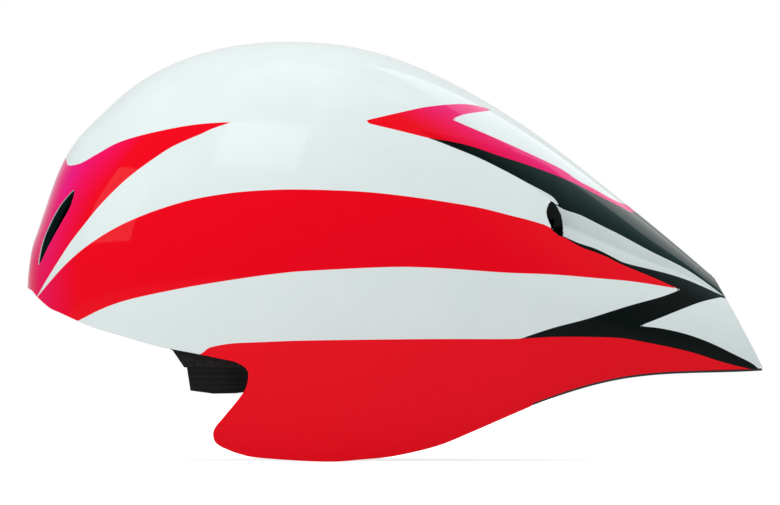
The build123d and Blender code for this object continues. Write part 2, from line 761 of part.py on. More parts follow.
def dial_knob():
    """Hollow knob with lobes for the fingers, click notches inside and a hub on the shaft."""
    knob = Cylinder(knob_radius, knob_height, align=seated)
    knob = chamfer(knob.edges().group_by(Axis.Z)[-1], knob_wall / 2)
    for place in PolarLocations(knob_radius + lobe_radius / 2, knob_lobes):
        knob -= place * Cylinder(lobe_radius, overrun * 2)
    notches = []
    for index in range(2 * detent_count):
        radius = detent_radius if index % 2 == 0 else detent_radius - detent_depth
        angle = math.pi / 2 + math.pi * index / detent_count
        notches.append((radius * math.cos(angle), radius * math.sin(angle)))
    room = extrude(make_face(Polyline(*notches, close=True)), amount=knob_height - knob_wall)
    hub_radius = shaft_radius + hub_wall
    room -= Cylinder(hub_radius, knob_height, align=seated)
    shaft_end = rack_front + shaft_length - knob_x
    knob -= room + Cylinder(shaft_radius + fit_gap, shaft_end + fit_gap, align=seated)
    knob -= Cylinder(screw_radius + fit_gap, overrun * 2)
    knob -= Pos(0, 0, knob_height - screw_head) * Cylinder(screw_head_radius + fit_gap, overrun, align=seated)
    return dial_place(knob_x) * knob


def screw(length_under_head):
    """A pan-head screw, its head's seat at zero and its shank downwards."""
    head = Cylinder(screw_head_radius, screw_head, align=seated)
    head = chamfer(head.edges().group_by(Axis.Z)[-1], screw_head / 3)
    slot = Pos(0, 0, screw_head) * Box(screw_head_radius * 4, screw_radius / 2, screw_head)
    return head - slot + Cylinder(screw_radius, length_under_head, align=hung)


def cradle_pads():
    """Two pads on the cradle, between it and the head."""
    shift = cradle_wall / 2 + seat_gap + cradle_pad_thickness / 2
    low = dial_z - cradle_pad_height / 2
    strip = band(cradle_line(), cradle_pad_thickness, low, low + cradle_pad_height, -shift)
    size = cradle_width / 2 - cradle_wall - cradle_pad_in
    outline = Pos(cradle_pad_in + size / 2, 0, 0) * RectangleRounded(size, cradle_pad_height, pad_thickness)
    pad = strip & dial_place(head_x) * extrude(outline, amount=length)
    return {"cradle_pad_right": pad, "cradle_pad_left": mirrored(pad)}


def temple_anchor():
    """Disc set in the temple foam, with the pin that the right arm turns on."""
    inner = temple_plane + arm_wall / 2 + slide_gap
    place = Plane(origin=(temple_x, inner, temple_z), x_dir=(1, 0, 0), z_dir=(0, 1, 0)).location
    stem = slide_gap * 2 + arm_wall
    anchor = Cylinder(anchor_radius, anchor_depth, align=seated) + Cylinder(pin_radius, stem, align=hung)
    head = Cylinder(pin_head_radius, pin_head, align=hung)
    head = chamfer(head.edges().group_by(Axis.Z)[0], pin_head / 2)
    return place * (anchor + Pos(0, 0, -stem) * head)


# Straps

def foam_edge(x):
    """Height of the foam's lower edge beside the head."""
    return row_at(foam_side_shares, (x - nose_x) / length)[1] * height


def side_strap(anchor_x, foot_x):
    """A side strap, its anchor block in the foam, the pocket for the block and the strap's slot."""
    top = Vector(anchor_x, strap_plane, foam_edge(anchor_x) + strap_anchor_height)
    foot = Vector(foot_x, strap_plane, divider_z + divider_height / 2 - strap_hold)
    along = top - foot
    place = Plane(origin=top, x_dir=along.cross(Vector(0, 1, 0)), z_dir=along).location
    inside = strap_anchor_height - strap_hold
    strap = Pos(0, 0, -inside) * Box(side_web, web_wall, along.length - inside, align=hung)
    slot = Box(side_web + 2 * seat_gap, web_wall + 2 * seat_gap,
               along.length - inside + 2 * seat_gap, align=hung)
    slot = Pos(0, 0, seat_gap - inside) * slot
    block = Box(strap_anchor_width, strap_anchor_wall, strap_anchor_height, align=hung)
    pocket = Box(strap_anchor_width + 2 * fit_gap, strap_anchor_wall + 2 * fit_gap,
                 strap_anchor_height + overrun, align=hung)
    return place * strap, place * (block - slot), place * Pos(0, 0, fit_gap) * pocket, place * slot


def fitting_pockets():
    """Room in the foam for the arms' front ends, their anchors and the strap anchors."""
    inner = temple_plane + arm_wall / 2 + slide_gap
    roof = spot(arm_top_shares[1]).Z + temple_rise
    room_x = spot(arm_top_shares[0]).X - temple_room
    room = Pos(room_x, inner, roof) * Box(
        (temple_x - room_x) * 2, anchor_radius * 2, roof + overrun, align=(Align.MIN, Align.MAX, Align.MAX))
    disc = Pos(temple_x, inner, temple_z) * Rot(-90, 0, 0) * Cylinder(
        anchor_radius + fit_gap, anchor_depth + fit_gap, align=seated)
    pockets = [room, disc, *side_strap(front_anchor_x, front_strap_x)[2:]]
    pockets += side_strap(rear_anchor_x, rear_strap_x)[2:]
    return pockets + [mirrored(pocket) for pocket in pockets]


def chin_strap(end_y):
    """The right chin strap on its edge, from the divider round to the buckle behind the neck."""
    start = divider_x + divider_length / 2 - strap_hold
    line = [Vector(start, strap_plane, 0)] + [head_side(*share) for share in strap_plan_shares]
    line += [Vector(buckle_x, strap_turn_y, 0), Vector(buckle_x, end_y, 0)]
    rise = [Vector(start - overrun, 0, divider_z), Vector(start, 0, divider_z)]
    rise += [spot(share) for share in strap_rise_shares]
    rise += [Vector(buckle_x - buckle_wall, 0, buckle_z), Vector(buckle_x + overrun, 0, buckle_z)]
    half = Vector(0, 0, chin_web / 2)
    top, foot = [point + half for point in rise], [point - half for point in rise]
    outline = extrude(between_lines(top, foot), amount=width, dir=(0, 1, 0))
    return band(line, web_wall, 0, head_z) & outline


def divider():
    """Strap divider with pockets for three straps and two ears for its cam lever."""
    body = Box(divider_length, divider_wall, divider_height)
    body = fillet(body.edges().filter_by(Axis.Y), divider_corner)
    body = Pos(divider_x, strap_plane, divider_z) * body
    for turn in (-1, 1):
        ear = Cylinder(ear_wall, ear_wall) + Pos(0, ear_wall / 2, 0) * Box(2 * ear_wall, ear_wall, ear_wall)
        side = turn * (lever_length + ear_wall + 2 * slide_gap) / 2
        body += Pos(divider_x + side, lever_y, lever_z) * Rot(0, 90, 0) * ear
    body -= Pos(divider_x, lever_y, lever_z) * Rot(0, 90, 0) * Cylinder(lever_pin_radius + fit_gap, width)
    body -= [side_strap(front_anchor_x, front_strap_x)[3], side_strap(rear_anchor_x, rear_strap_x)[3]]
    end = Pos(divider_x + divider_length / 2, strap_plane, divider_z)
    return body - end * Box(2 * (strap_hold + seat_gap), web_wall + 2 * seat_gap, chin_web + 2 * seat_gap)


def cam_lever():
    """Lever that clamps the side straps, closed against the divider."""
    plate = Pos(0, 0, lever_height / 2) * Box(lever_length, lever_wall, lever_height)
    plate = fillet(plate.edges().filter_by(Axis.Y).group_by(Axis.Z)[-1], divider_corner)
    knuckle = Rot(0, 90, 0) * Cylinder(lever_knuckle, lever_length)
    bore = Rot(0, 90, 0) * Cylinder(lever_pin_radius + fit_gap, width)
    return Pos(divider_x, lever_y, lever_z) * (plate + knuckle - bore)


def lever_pin():
    """Pin through the divider's ears and the lever."""
    pin = Cylinder(lever_pin_radius, lever_length + 2 * ear_wall + 2 * slide_gap)
    return Pos(divider_x, lever_y, lever_z) * Rot(0, 90, 0) * pin


def buckle_female():
    """Buckle half with a mouth for the prongs and two side windows."""
    body = rounded_block(buckle_wall, buckle_length, buckle_height, buckle_corner, Axis.Y)
    room_z = chin_web - 2 * seat_gap
    mouth = Pos(0, buckle_length / 2, 0) * Box(prong_thickness + 2 * slide_gap,
                                                2 * (prong_length + slide_gap), room_z)
    window = Pos(0, buckle_length / 2 - window_start - window_length / 2, 0) * Box(
        prong_thickness + 2 * slide_gap, window_length, buckle_height + overrun)
    slot = Pos(0, -buckle_length / 2, 0) * Box(web_wall + 2 * seat_gap, 2 * (strap_hold + seat_gap),
                                                chin_web + 2 * seat_gap)
    return Pos(buckle_x, -buckle_length / 2, buckle_z) * (body - mouth - window - slot)


def buckle_male():
    """Buckle half with two prongs and a guide between them."""
    body = rounded_block(buckle_wall, clasp_length, buckle_height, buckle_corner, Axis.Y)
    body = Pos(0, clasp_length / 2, 0) * body
    prong_z = chin_web / 2 - seat_gap - slide_gap - prong_wall / 2
    for turn in (-1, 1):
        body += Pos(0, -prong_length / 2 + clasp_length / 2, turn * prong_z) * Box(
            prong_thickness, prong_length + clasp_length, prong_wall)
    body += Pos(0, -guide_length / 2 + clasp_length / 2, 0) * Box(
        prong_thickness, guide_length + clasp_length, prong_wall)
    slot = Pos(0, clasp_length, 0) * Box(web_wall + 2 * seat_gap, 2 * (strap_hold + seat_gap),
                                          chin_web + 2 * seat_gap)
    return Pos(buckle_x, slide_gap, buckle_z) * (body - slot)


def strap_keeper():
    """Rubber loop round the left chin strap."""
    gap = 2 * seat_gap
    loop = Box(web_wall + gap + 2 * keeper_wall, keeper_length, chin_web + gap + 2 * keeper_wall)
    loop -= Box(web_wall + gap, keeper_length * 2, chin_web + gap)
    return Pos(buckle_x, -keeper_y, buckle_z) * loop


def build():
    """Every piece under its name."""
    right_arm = arm(dial_z - pitch_radius - rack_back, dial_z - pitch_radius)
    left_arm = mirrored(arm(dial_z + pitch_radius, dial_z + pitch_radius + rack_back))
    upper_rack = rack()
    lower_rack = upper_rack.rotate(Axis((0, 0, dial_z), (1, 0, 0)), 180)
    anchor, divided, lever, pin = temple_anchor(), divider(), cam_lever(), lever_pin()
    front, front_block = side_strap(front_anchor_x, front_strap_x)[:2]
    rear, rear_block = side_strap(rear_anchor_x, rear_strap_x)[:2]
    right_end = slide_gap + clasp_length - strap_hold
    left_end = buckle_length - strap_hold
    cover_face = cover_x + cover_wall
    screws = [dial_place(cover_face) * Pos(y, 0, 0) * screw(cover_face - plate_x)
              for y in (-cover_screw_y, cover_screw_y)]
    knob_top = knob_x + knob_height - screw_head
    pieces = {
        "outer_shell": outer_shell(),
        "head_foam": head_foam(),
        "tail_foam": tail_foam(),
        "tail_base": tail_base(),
        **head_pads(),
        **ear_pads(),
        "temple_anchor_right": anchor,
        "temple_anchor_left": mirrored(anchor),
        "arm_right": right_arm,
        "arm_left": left_arm,
        "rack_left": upper_rack,
        "rack_right": lower_rack,
        "cradle": cradle(),
        "housing_cover": housing_cover(),
        "cover_screws": Compound(children=screws),
        "pinion": pinion(),
        "click_spring": click_spring(),
        "dial_knob": dial_knob(),
        "knob_screw": dial_place(knob_top) * screw(knob_top - knob_x),
        **cradle_pads(),
        "strap_anchors_front": Compound(children=[front_block, mirrored(front_block)]),
        "strap_anchors_rear": Compound(children=[rear_block, mirrored(rear_block)]),
        "strap_front_right": front,
        "strap_front_left": mirrored(front),
        "strap_rear_right": rear,
        "strap_rear_left": mirrored(rear),
        "divider_right": divided,
        "divider_left": mirrored(divided),
        "cam_lever_right": lever,
        "cam_lever_left": mirrored(lever),
        "lever_pin_right": pin,
        "lever_pin_left": mirrored(pin),
        "chin_strap_right": chin_strap(right_end),
        "chin_strap_left": mirrored(chin_strap(left_end)),
        "buckle_female": buckle_female(),
        "buckle_male": buckle_male(),
        "strap_keeper": strap_keeper(),
    }
    return pieces


os.makedirs("parts", exist_ok=True)
for name, piece in build().items():
    export_step(piece, f"parts/{name}.step")
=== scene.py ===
# %% [markdown]
# A time trial helmet, finished in Blender. The hard shell is one smooth, lacquered form, so it is
# worked out here as a dense surface from its formula. The small fittings keep their solids and
# get moulded or metal finishes, and the pads and straps are made again as cloth.

# %% Load the helmet's frame
import json
import math
import bmesh
import bpy
import numpy as np
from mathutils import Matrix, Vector


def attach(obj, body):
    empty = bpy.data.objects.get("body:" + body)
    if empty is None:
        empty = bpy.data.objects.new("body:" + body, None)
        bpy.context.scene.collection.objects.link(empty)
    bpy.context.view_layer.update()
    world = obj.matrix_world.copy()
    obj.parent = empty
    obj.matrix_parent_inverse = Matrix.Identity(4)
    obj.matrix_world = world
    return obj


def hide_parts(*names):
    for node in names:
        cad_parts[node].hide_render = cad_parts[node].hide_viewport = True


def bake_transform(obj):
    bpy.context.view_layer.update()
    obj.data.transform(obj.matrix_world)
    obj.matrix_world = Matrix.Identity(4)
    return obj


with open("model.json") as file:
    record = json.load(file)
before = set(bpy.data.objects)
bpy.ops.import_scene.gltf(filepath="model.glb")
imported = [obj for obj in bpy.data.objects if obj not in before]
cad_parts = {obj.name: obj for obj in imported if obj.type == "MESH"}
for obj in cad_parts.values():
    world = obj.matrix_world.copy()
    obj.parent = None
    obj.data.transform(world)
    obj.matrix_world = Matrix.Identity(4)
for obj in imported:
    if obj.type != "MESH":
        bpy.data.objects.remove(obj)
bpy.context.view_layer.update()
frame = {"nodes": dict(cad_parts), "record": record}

# %% [markdown]
# Sizes are in metres. X runs from the nose to the tail, Y across the head and Z up. A side view's
# points are easiest to read in the photograph's own pixels, so one helper turns them into metres.

# %% Sizes and the side view's scale
PIXEL = 0.400 / 738
MIDDLE_COLUMN, GROUND_ROW = 395.0, 460.5
LENGTH, WIDTH, HEIGHT = 0.400, 0.200, 0.2274
NOSE, WAIST_SHARE = -LENGTH / 2, 0.375
WAIST = NOSE + WAIST_SHARE * LENGTH
SIDE_REACH, SIDE_TAPER = 0.260, 1.9
SHELL_WALL = 0.0025


def side_view(points):
    """Pixels of the side view to X and Z in metres: each is its distance from the frame's
    middle column or from the ground row, times the size of a pixel."""
    spots = np.asarray(points, dtype=float)
    return np.stack([spots[:, 0] - MIDDLE_COLUMN, GROUND_ROW - spots[:, 1]], axis=1) * PIXEL


def shares_view(points):
    """Shares of the length and of the height to X and Z in metres."""
    spots = np.asarray(points, dtype=float)
    return np.stack([NOSE + spots[:, 0] * LENGTH, spots[:, 1] * HEIGHT], axis=1)


print("a pixel is", round(PIXEL * 1000, 3), "mm, and the widest place is at", round(WAIST, 3))

# %% [markdown]
# The shell's cross-sections are superellipses above their widest place and bow gently inwards
# below it. Nineteen stations give each section's size. A natural cubic spline through the stations
# keeps the curvature steady, which matters on lacquer: every ripple would bend the reflections.

# %% Stations along the shell
STATIONS = np.array([
    (0.00025, 0.432, 0.422, 2.2, 0.06), (0.0015, 0.456, 0.423, 2.2, 0.06),
    (0.0055, 0.502, 0.424, 2.2, 0.06), (0.0125, 0.541, 0.426, 2.2, 0.06),
    (0.025, 0.606, 0.429, 2.2, 0.07), (0.043, 0.693, 0.433, 2.2, 0.08),
    (0.0675, 0.766, 0.438, 2.2, 0.09), (0.100, 0.825, 0.443, 2.2, 0.10),
    (0.140, 0.888, 0.450, 2.2, 0.11), (0.195, 0.945, 0.457, 2.2, 0.12),
    (0.2625, 0.984, 0.464, 2.2, 0.12), (0.375, 1.000, 0.470, 2.2, 0.12),
    (0.4675, 0.978, 0.464, 2.15, 0.12), (0.575, 0.904, 0.440, 2.05, 0.13),
    (0.6875, 0.785, 0.390, 1.9, 0.16), (0.800, 0.633, 0.335, 1.75, 0.25),
    (0.900, 0.488, 0.295, 1.7, 0.35), (0.955, 0.404, 0.275, 1.7, 0.45),
    (1.010, 0.322, 0.255, 1.7, 0.55),
])
print("stations", len(STATIONS), "columns: place, top, widest height, roundness, draw")

# %% A smooth curve through the stations


def walk(x):
    """Distance walked along the shell for a place x: the angle of an ellipse up to the widest
    section, then the place itself, so that stations near the nose aren't crowded."""
    ahead = np.clip((WAIST - x) / (WAIST - NOSE), -1, 1)
    return np.where(x < WAIST, np.arccos(ahead), np.pi / 2 + (x - WAIST) / (WAIST - NOSE))


def unwalk(s):
    """The place x for a distance walked: the inverse of walk."""
    ahead, behind = np.cos(s), s - np.pi / 2
    return np.where(behind < 0, WAIST - (WAIST - NOSE) * ahead, WAIST + behind * (WAIST - NOSE))


def natural_spline(knots, values):
    """Second derivatives of the natural cubic spline: they solve one linear system in which each
    row balances the slopes on both sides of a knot."""
    gap = np.diff(knots)
    count = len(knots)
    system = np.eye(count)
    right = np.zeros_like(values)
    inner = np.arange(1, count - 1)
    system[inner, inner - 1] = gap[:-1]
    system[inner, inner] = 2 * (gap[:-1] + gap[1:])
    system[inner, inner + 1] = gap[1:]
    slope = np.diff(values, axis=0) / gap[:, None]
    right[1:-1] = 6 * np.diff(slope, axis=0)
    return np.linalg.solve(system, right)


def spline_at(knots, values, bend, at):
    """A cubic spline's values: straight between two knots, plus the bend's cubic terms."""
    at = np.asarray(at, dtype=float)
    low = np.clip(np.searchsorted(knots, at, side="right") - 1, 0, len(knots) - 2)
    gap = knots[low + 1] - knots[low]
    up = (at - knots[low]) / gap
    down = 1 - up
    cubic = ((down**3 - down)[..., None] * bend[low] + (up**3 - up)[..., None] * bend[low + 1])
    straight = down[..., None] * values[low] + up[..., None] * values[low + 1]
    return straight + cubic * (gap**2)[..., None] / 6


STATION_WALK = walk(NOSE + STATIONS[:, 0] * LENGTH)
STATION_BEND = natural_spline(STATION_WALK, STATIONS[:, 1:])
print("walk from nose to tail", round(float(STATION_WALK[-1] - STATION_WALK[0]), 3))

# %% The skin's formula


def section(x):
    """Half width, top, widest height, roundness and draw at x. The half width is half an ellipse
    to the nose, and one minus a power of the distance to the tail."""
    x = np.asarray(x, dtype=float)
    ahead = np.clip((WAIST - x) / (WAIST - NOSE), 0, 1)
    behind = np.clip((x - WAIST) / SIDE_REACH, 0, 1)
    half = np.where(x < WAIST, np.sqrt(1 - ahead**2), 1 - behind**SIDE_TAPER) * WIDTH / 2
    rows = spline_at(STATION_WALK, STATIONS[:, 1:], STATION_BEND, walk(x))
    return half, rows[..., 0] * HEIGHT, rows[..., 1] * HEIGHT, rows[..., 2], rows[..., 3]


def skin_y(x, z):
    """Distance of the skin from the middle plane: a superellipse above the widest height, and a
    square law of draw below it."""
    half, top, widest, roundness, draw = section(x)
    rise = np.clip((z - widest) / (top - widest), 0, 1)
    above = half * (1 - rise**roundness) ** (1 / roundness)
    below = half * (1 - draw * ((widest - z) / widest) ** 2)
    return np.where(z > widest, above, below)


def unit(vectors):
    """Vectors divided by their own length."""
    return vectors / np.linalg.norm(vectors, axis=-1, keepdims=True)


def skin_normal(x, z, step=0.0004):
    """The skin's outward direction on the right side: the gradient of y minus skin_y."""
    along = (skin_y(x + step, z) - skin_y(x - step, z)) / (2 * step)
    upward = (skin_y(x, z + step) - skin_y(x, z - step)) / (2 * step)
    return unit(np.stack([-along, np.ones_like(along), -upward], axis=-1))


print("half width at the waist", float(section(np.array(WAIST))[0]))

# %% [markdown]
# The shell's lower edge, the intake, the outlet and the scoop are outlines in the side view. A
# closed outline becomes a field that tells how far any point lies from it, below zero inside.
# With such fields one grid can be trimmed along any edge, and paint lines use the same idea.

# %% Outlines and their fields
BATCH = 4000


def spans(a, b, c, d, steps=10):
    """Spans of a Catmull-Rom curve: each is a cubic from b to c, and its slope at a point runs
    between the point's two neighbours."""
    t = np.linspace(0, 1, steps, endpoint=False)[:, None, None]
    square, cube = 2 * a - 5 * b + 4 * c - d, 3 * b - a - 3 * c + d
    places = 0.5 * (2 * b + (c - a) * t + square * t**2 + cube * t**3)
    return places.transpose(1, 0, 2).reshape(-1, b.shape[1])


def curve_through(points):
    """A smooth open curve through points."""
    p = np.asarray(points, dtype=float)
    if len(p) < 3:
        return p
    ends = np.vstack([2 * p[0] - p[1], p, 2 * p[-1] - p[-2]])
    return np.vstack([spans(ends[:-3], ends[1:-2], ends[2:-1], ends[3:]), p[-1:]])


def closed_through(points):
    """A smooth closed curve through points."""
    p = np.asarray(points, dtype=float)
    return spans(np.roll(p, 1, 0), p, np.roll(p, -1, 0), np.roll(p, -2, 0))


def outline(*runs):
    """A closed outline of smooth runs that meet at corners."""
    return np.vstack([curve_through(run) for run in runs])


def nearest_on(polygon, spots):
    """For each spot the nearest point of a closed polygon and the signed distance to it: the
    smallest distance to its edges, below zero where an upward ray crosses it an odd number
    of times."""
    start, end = polygon, np.roll(polygon, -1, 0)
    run = end - start
    size = np.maximum((run**2).sum(1), 1e-18)
    near, far = np.empty((len(spots), 2)), np.empty(len(spots))
    for low in range(0, len(spots), BATCH):
        q = spots[low:low + BATCH]
        part = np.clip(((q[:, None] - start) * run).sum(2) / size, 0, 1)
        feet = start + part[..., None] * run
        gap = ((feet - q[:, None]) ** 2).sum(2)
        pick = gap.argmin(1)
        rows = np.arange(len(q))
        near[low:low + BATCH] = feet[rows, pick]
        crosses = (start[:, 0] > q[:, None, 0]) != (end[:, 0] > q[:, None, 0])
        with np.errstate(divide="ignore", invalid="ignore"):
            hit = start[:, 1] + (q[:, None, 0] - start[:, 0]) * run[:, 1] / run[:, 0]
        inside = (crosses & (hit > q[:, None, 1])).sum(1) % 2 == 1
        far[low:low + BATCH] = np.sqrt(gap[rows, pick]) * np.where(inside, -1, 1)
    return near, far


square = np.array([(0, 0), (1, 0), (1, 1), (0, 1)], dtype=float)
print("field in the middle of a unit square", nearest_on(square, np.array([(0.5, 0.5)]))[1])

# %% The shell's own outlines
BROW = [(-0.03, 0.4266), (0.0028, 0.409), (0.0143, 0.3896), (0.0308, 0.365), (0.046, 0.3527),
        (0.0868, 0.3219), (0.1273, 0.3004), (0.1815, 0.274), (0.2373, 0.2546), (0.2845, 0.2375)]
NOTCH = [(0.2845, 0.2375), (0.298, 0.2238), (0.3028, 0.2045), (0.2968, 0.1649), (0.2703, 0.106),
         (0.2588, 0.0822), (0.255, 0.0655), (0.2578, 0.0457), (0.2675, 0.0334)]
EAR = [(0.2675, 0.0334), (0.2898, 0.0185), (0.3198, 0.0088), (0.405, 0.0), (0.4525, 0.0048),
       (0.5013, 0.0141), (0.5575, 0.0374), (0.604, 0.0704), (0.6508, 0.106), (0.685, 0.1319)]
TAIL_LIP = 0.0012 / HEIGHT
TAIL = [(0.685, 0.1319 + TAIL_LIP), (0.7448, 0.168 + TAIL_LIP), (0.7968, 0.1909 + TAIL_LIP),
        (0.8483, 0.2032 + TAIL_LIP), (0.9263, 0.2089 + TAIL_LIP), (1.0, 0.2133 + TAIL_LIP)]
TAIL_TOP = (0.9473, 0.3896)
LOWER_EDGE = shares_view(np.vstack([curve_through(run) for run in (BROW, NOTCH, EAR, TAIL)]))
tail_foot, tail_crown = LOWER_EDGE[-1], shares_view([TAIL_TOP])[0]
SHELL_SIDE = np.vstack([LOWER_EDGE, tail_crown[None], 2 * tail_crown[None] - tail_foot[None],
                        shares_view([(0.9, 1.2), (-0.1, 1.2)])])
INTAKE = shares_view(closed_through([
    (0.0658, 0.6447), (0.0603, 0.6064), (0.046, 0.5611), (0.0308, 0.5136), (0.016, 0.4648),
    (0.020, 0.5136), (0.0293, 0.5567), (0.0435, 0.6029), (0.057, 0.6328)]))
OUTLET = shares_view(closed_through([
    (0.705, 0.5897), (0.712, 0.617), (0.7245, 0.5858), (0.7268, 0.5343), (0.714, 0.5501)]))
print("lower edge", len(LOWER_EDGE), "points")

# %% [markdown]
# The rear of the shell is cut by a long groove: a shallow crease that deepens into the scoop behind
# the outlet. Each cross-section of the groove is a wall under the rim, a floor, a rise to the
# spine's edge and a flank that runs back out to the skin. Its sizes follow the place along X.

# %% The scoop's sections
SCOOP_DEPTH, SCOOP_SKIM = 0.0115, 0.002
FLOOR_SHARE, FLOOR_SLOPE, FLANK_POWER = 0.7, 0.9, 1.6
GROOVE_STEPS = (6, 10, 8, 16)
EDGE_ROW = sum(GROOVE_STEPS[:3])
CREASE = np.array([
    (0.535, 0.7762, 0.7850, 0.8050, 0.03, 0.02), (0.600, 0.7300, 0.7400, 0.7900, 0.22, 0.20),
    (0.665, 0.6750, 0.6860, 0.7600, 0.40, 0.34), (0.711, 0.6210, 0.6310, 0.7300, 0.46, 0.42)])
SCOOP = np.array([
    (0.711, 0.5490, 0.6310, 0.7300, 0.85, 0.42), (0.7275, 0.5335, 0.6120, 0.7040, 1.00, 0.39),
    (0.7475, 0.5123, 0.5990, 0.6816, 0.96, 0.35), (0.770, 0.4969, 0.5790, 0.6550, 0.87, 0.30),
    (0.8025, 0.4750, 0.5490, 0.6110, 0.74, 0.24), (0.850, 0.4530, 0.5020, 0.5450, 0.52, 0.16),
    (0.895, 0.4301, 0.4600, 0.4840, 0.30, 0.09), (0.9475, 0.3892, 0.3927, 0.3960, 0.07, 0.03)])


def groove_sizes(x, table):
    """Rim, floor, edge and skin-line heights and their depths at x: the table's spline, with the
    floor at a share of the way up and the flank cut off where it meets the skin."""
    bend = natural_spline(table[:, 0], table[:, 1:])
    sizes = spline_at(table[:, 0], table[:, 1:], bend, (x - NOSE) / LENGTH)
    rim, edge, blend = sizes.T[:3] * HEIGHT
    rim_depth, edge_depth = sizes.T[3:] * SCOOP_DEPTH
    floor = rim + (edge - rim) * FLOOR_SHARE
    floor_depth = edge_depth + (rim_depth - edge_depth) * FLOOR_SLOPE
    top = edge + (blend - edge) * edge_depth / (edge_depth + SCOOP_SKIM)
    return rim, floor, edge, top, rim_depth, floor_depth, edge_depth


def under_skin(x, z, depth, step=0.0003):
    """A point at a depth under the skin, measured square to the skin within its cross-section."""
    y = skin_y(x, z)
    slope = (skin_y(x, z + step) - y) / step
    reach = np.hypot(1, slope)
    return np.stack([x, y - depth / reach, z + depth * slope / reach], axis=-1)


def groove_grid(x, table):
    """The groove's surface: lines along it, with straight steps between the first four. On the
    flank the depth falls as a power of what is left, so it meets the skin without a corner."""
    rim, floor, edge, top, rim_depth, floor_depth, edge_depth = groove_sizes(x, table)
    lines = [under_skin(x, rim, np.zeros_like(x)), under_skin(x, rim, rim_depth),
             under_skin(x, floor, floor_depth), under_skin(x, edge, edge_depth)]
    rows = [lines[0][:, None]]
    for one, other, count in zip(lines[:3], lines[1:], GROOVE_STEPS):
        part = np.linspace(0, 1, count + 1)[1:, None]
        rows.append(one[:, None] * (1 - part) + other[:, None] * part)
    part = np.linspace(0, 1, GROOVE_STEPS[3] + 1)[1:]
    heights = edge[:, None] * (1 - part) + top[:, None] * part
    depths = edge_depth[:, None] * (1 - part) ** FLANK_POWER
    rows.append(under_skin(np.broadcast_to(x[:, None], heights.shape), heights, depths))
    return np.concatenate(rows, axis=1)


crease_x = NOSE + LENGTH * np.linspace(CREASE[0, 0], CREASE[-1, 0], 60)
scoop_x = NOSE + LENGTH * np.concatenate([
    np.linspace(SCOOP[0, 0], 0.732, 40), np.linspace(0.7335, SCOOP[-1, 0], 90)])
crease_sizes, scoop_sizes = groove_sizes(crease_x, CREASE), groove_sizes(scoop_x, SCOOP)
SCOOP_SIDE = np.vstack([
    np.stack([crease_x, crease_sizes[3]], 1), np.stack([scoop_x, scoop_sizes[3]], 1),
    np.stack([scoop_x, scoop_sizes[0]], 1)[::-1], np.stack([crease_x, crease_sizes[0]], 1)[::-1]])
print("scoop's length", round(float(np.ptp(SCOOP_SIDE[:, 0])), 4))

# %% [markdown]
# The skin starts as a full grid. Faces outside the shell's outline, or inside a hole, are dropped,
# and the vertices along the cut slide to the nearest point of the outline, so the edge is clean
# although the grid never followed it. The left half is the right half mirrored.

# %% Grids, trimming and mirroring
SKIN_END, SKIN_FLOOR = 0.2035, -0.012


def skin_grid(columns, low_rows, high_rows):
    """Right half of the skin on a grid: each column is one cross-section, from under the base up
    the side by height, then over the superellipse by angle to the crown."""
    x = unwalk(np.linspace(0, float(walk(np.array(SKIN_END))), columns))
    half, top, widest, roundness, draw = [value[:, None] for value in section(x)]
    rise = np.linspace(0, 1, low_rows, endpoint=False)[None]
    low_z = SKIN_FLOOR + (widest - SKIN_FLOOR) * rise
    low_y = half * (1 - draw * ((widest - low_z) / widest) ** 2)
    angle = np.linspace(0, math.pi / 2, high_rows)[None]
    high_y = half * np.cos(angle) ** (2 / roundness)
    high_y[:, -1] = 0
    high_z = widest + (top - widest) * np.sin(angle) ** (2 / roundness)
    y, z = np.hstack([low_y, high_y]), np.hstack([low_z, high_z])
    return np.stack([np.broadcast_to(x[:, None], y.shape), y, z], axis=-1)


def quads(columns, rows):
    """Corner numbers of a grid's faces, in the order that makes the right half face outwards."""
    number = np.arange(columns * rows).reshape(columns, rows)
    corners = [number[:-1, :-1], number[:-1, 1:], number[1:, 1:], number[1:, :-1]]
    return np.stack([corner.ravel() for corner in corners], axis=1)


def side_field(polygon, spots, reach=0.012):
    """The outline's field near it, and a large number elsewhere, to save work."""
    low, high = polygon.min(0) - reach, polygon.max(0) + reach
    close = ((spots > low) & (spots < high)).all(1)
    near, far = np.array(spots), np.ones(len(spots))
    near[close], far[close] = nearest_on(polygon, spots[close])
    return near, far


print("faces of a grid of 3 by 3 points", len(quads(3, 3)))

# %% Trimming a grid


def on_skin(line):
    """Side-view points carried to the skin."""
    return np.stack([line[:, 0], skin_y(line[:, 0], line[:, 1]), line[:, 1]], axis=1)


def trimmed(grid, keep_inside, keep_outside, crown_end=None):
    """Vertices and faces of a skin grid cut by outlines. The field of the cut is the largest of
    the outlines' fields, with the holes' fields turned over."""
    columns, rows = grid.shape[:2]
    spots = grid[..., [0, 2]].reshape(-1, 2)
    found = [side_field(polygon, spots) for polygon in keep_inside]
    holes = [side_field(polygon, spots) for polygon in keep_outside]
    fields = np.stack([far for _, far in found] + [-far for _, far in holes])
    nearest = np.stack([near for near, _ in found] + [near for near, _ in holes])
    field = fields.max(0)
    faces = quads(columns, rows)
    kept = (field[faces].mean(1) < 0).reshape(columns - 1, rows - 1)
    around = np.pad(kept, 1, mode="edge")
    touching = np.stack([around[:-1, :-1], around[1:, :-1], around[:-1, 1:], around[1:, 1:]])
    rim = (touching.any(0) & ~touching.all(0)).ravel()
    points = grid.reshape(-1, 3).copy()
    points[rim] = on_skin(nearest[fields.argmax(0), np.arange(len(spots))][rim])
    if crown_end is not None:
        crown = rim.reshape(columns, rows).copy()
        crown[:, :-1] = False
        points[crown.ravel()] = crown_end
    return points, faces[kept.ravel()]


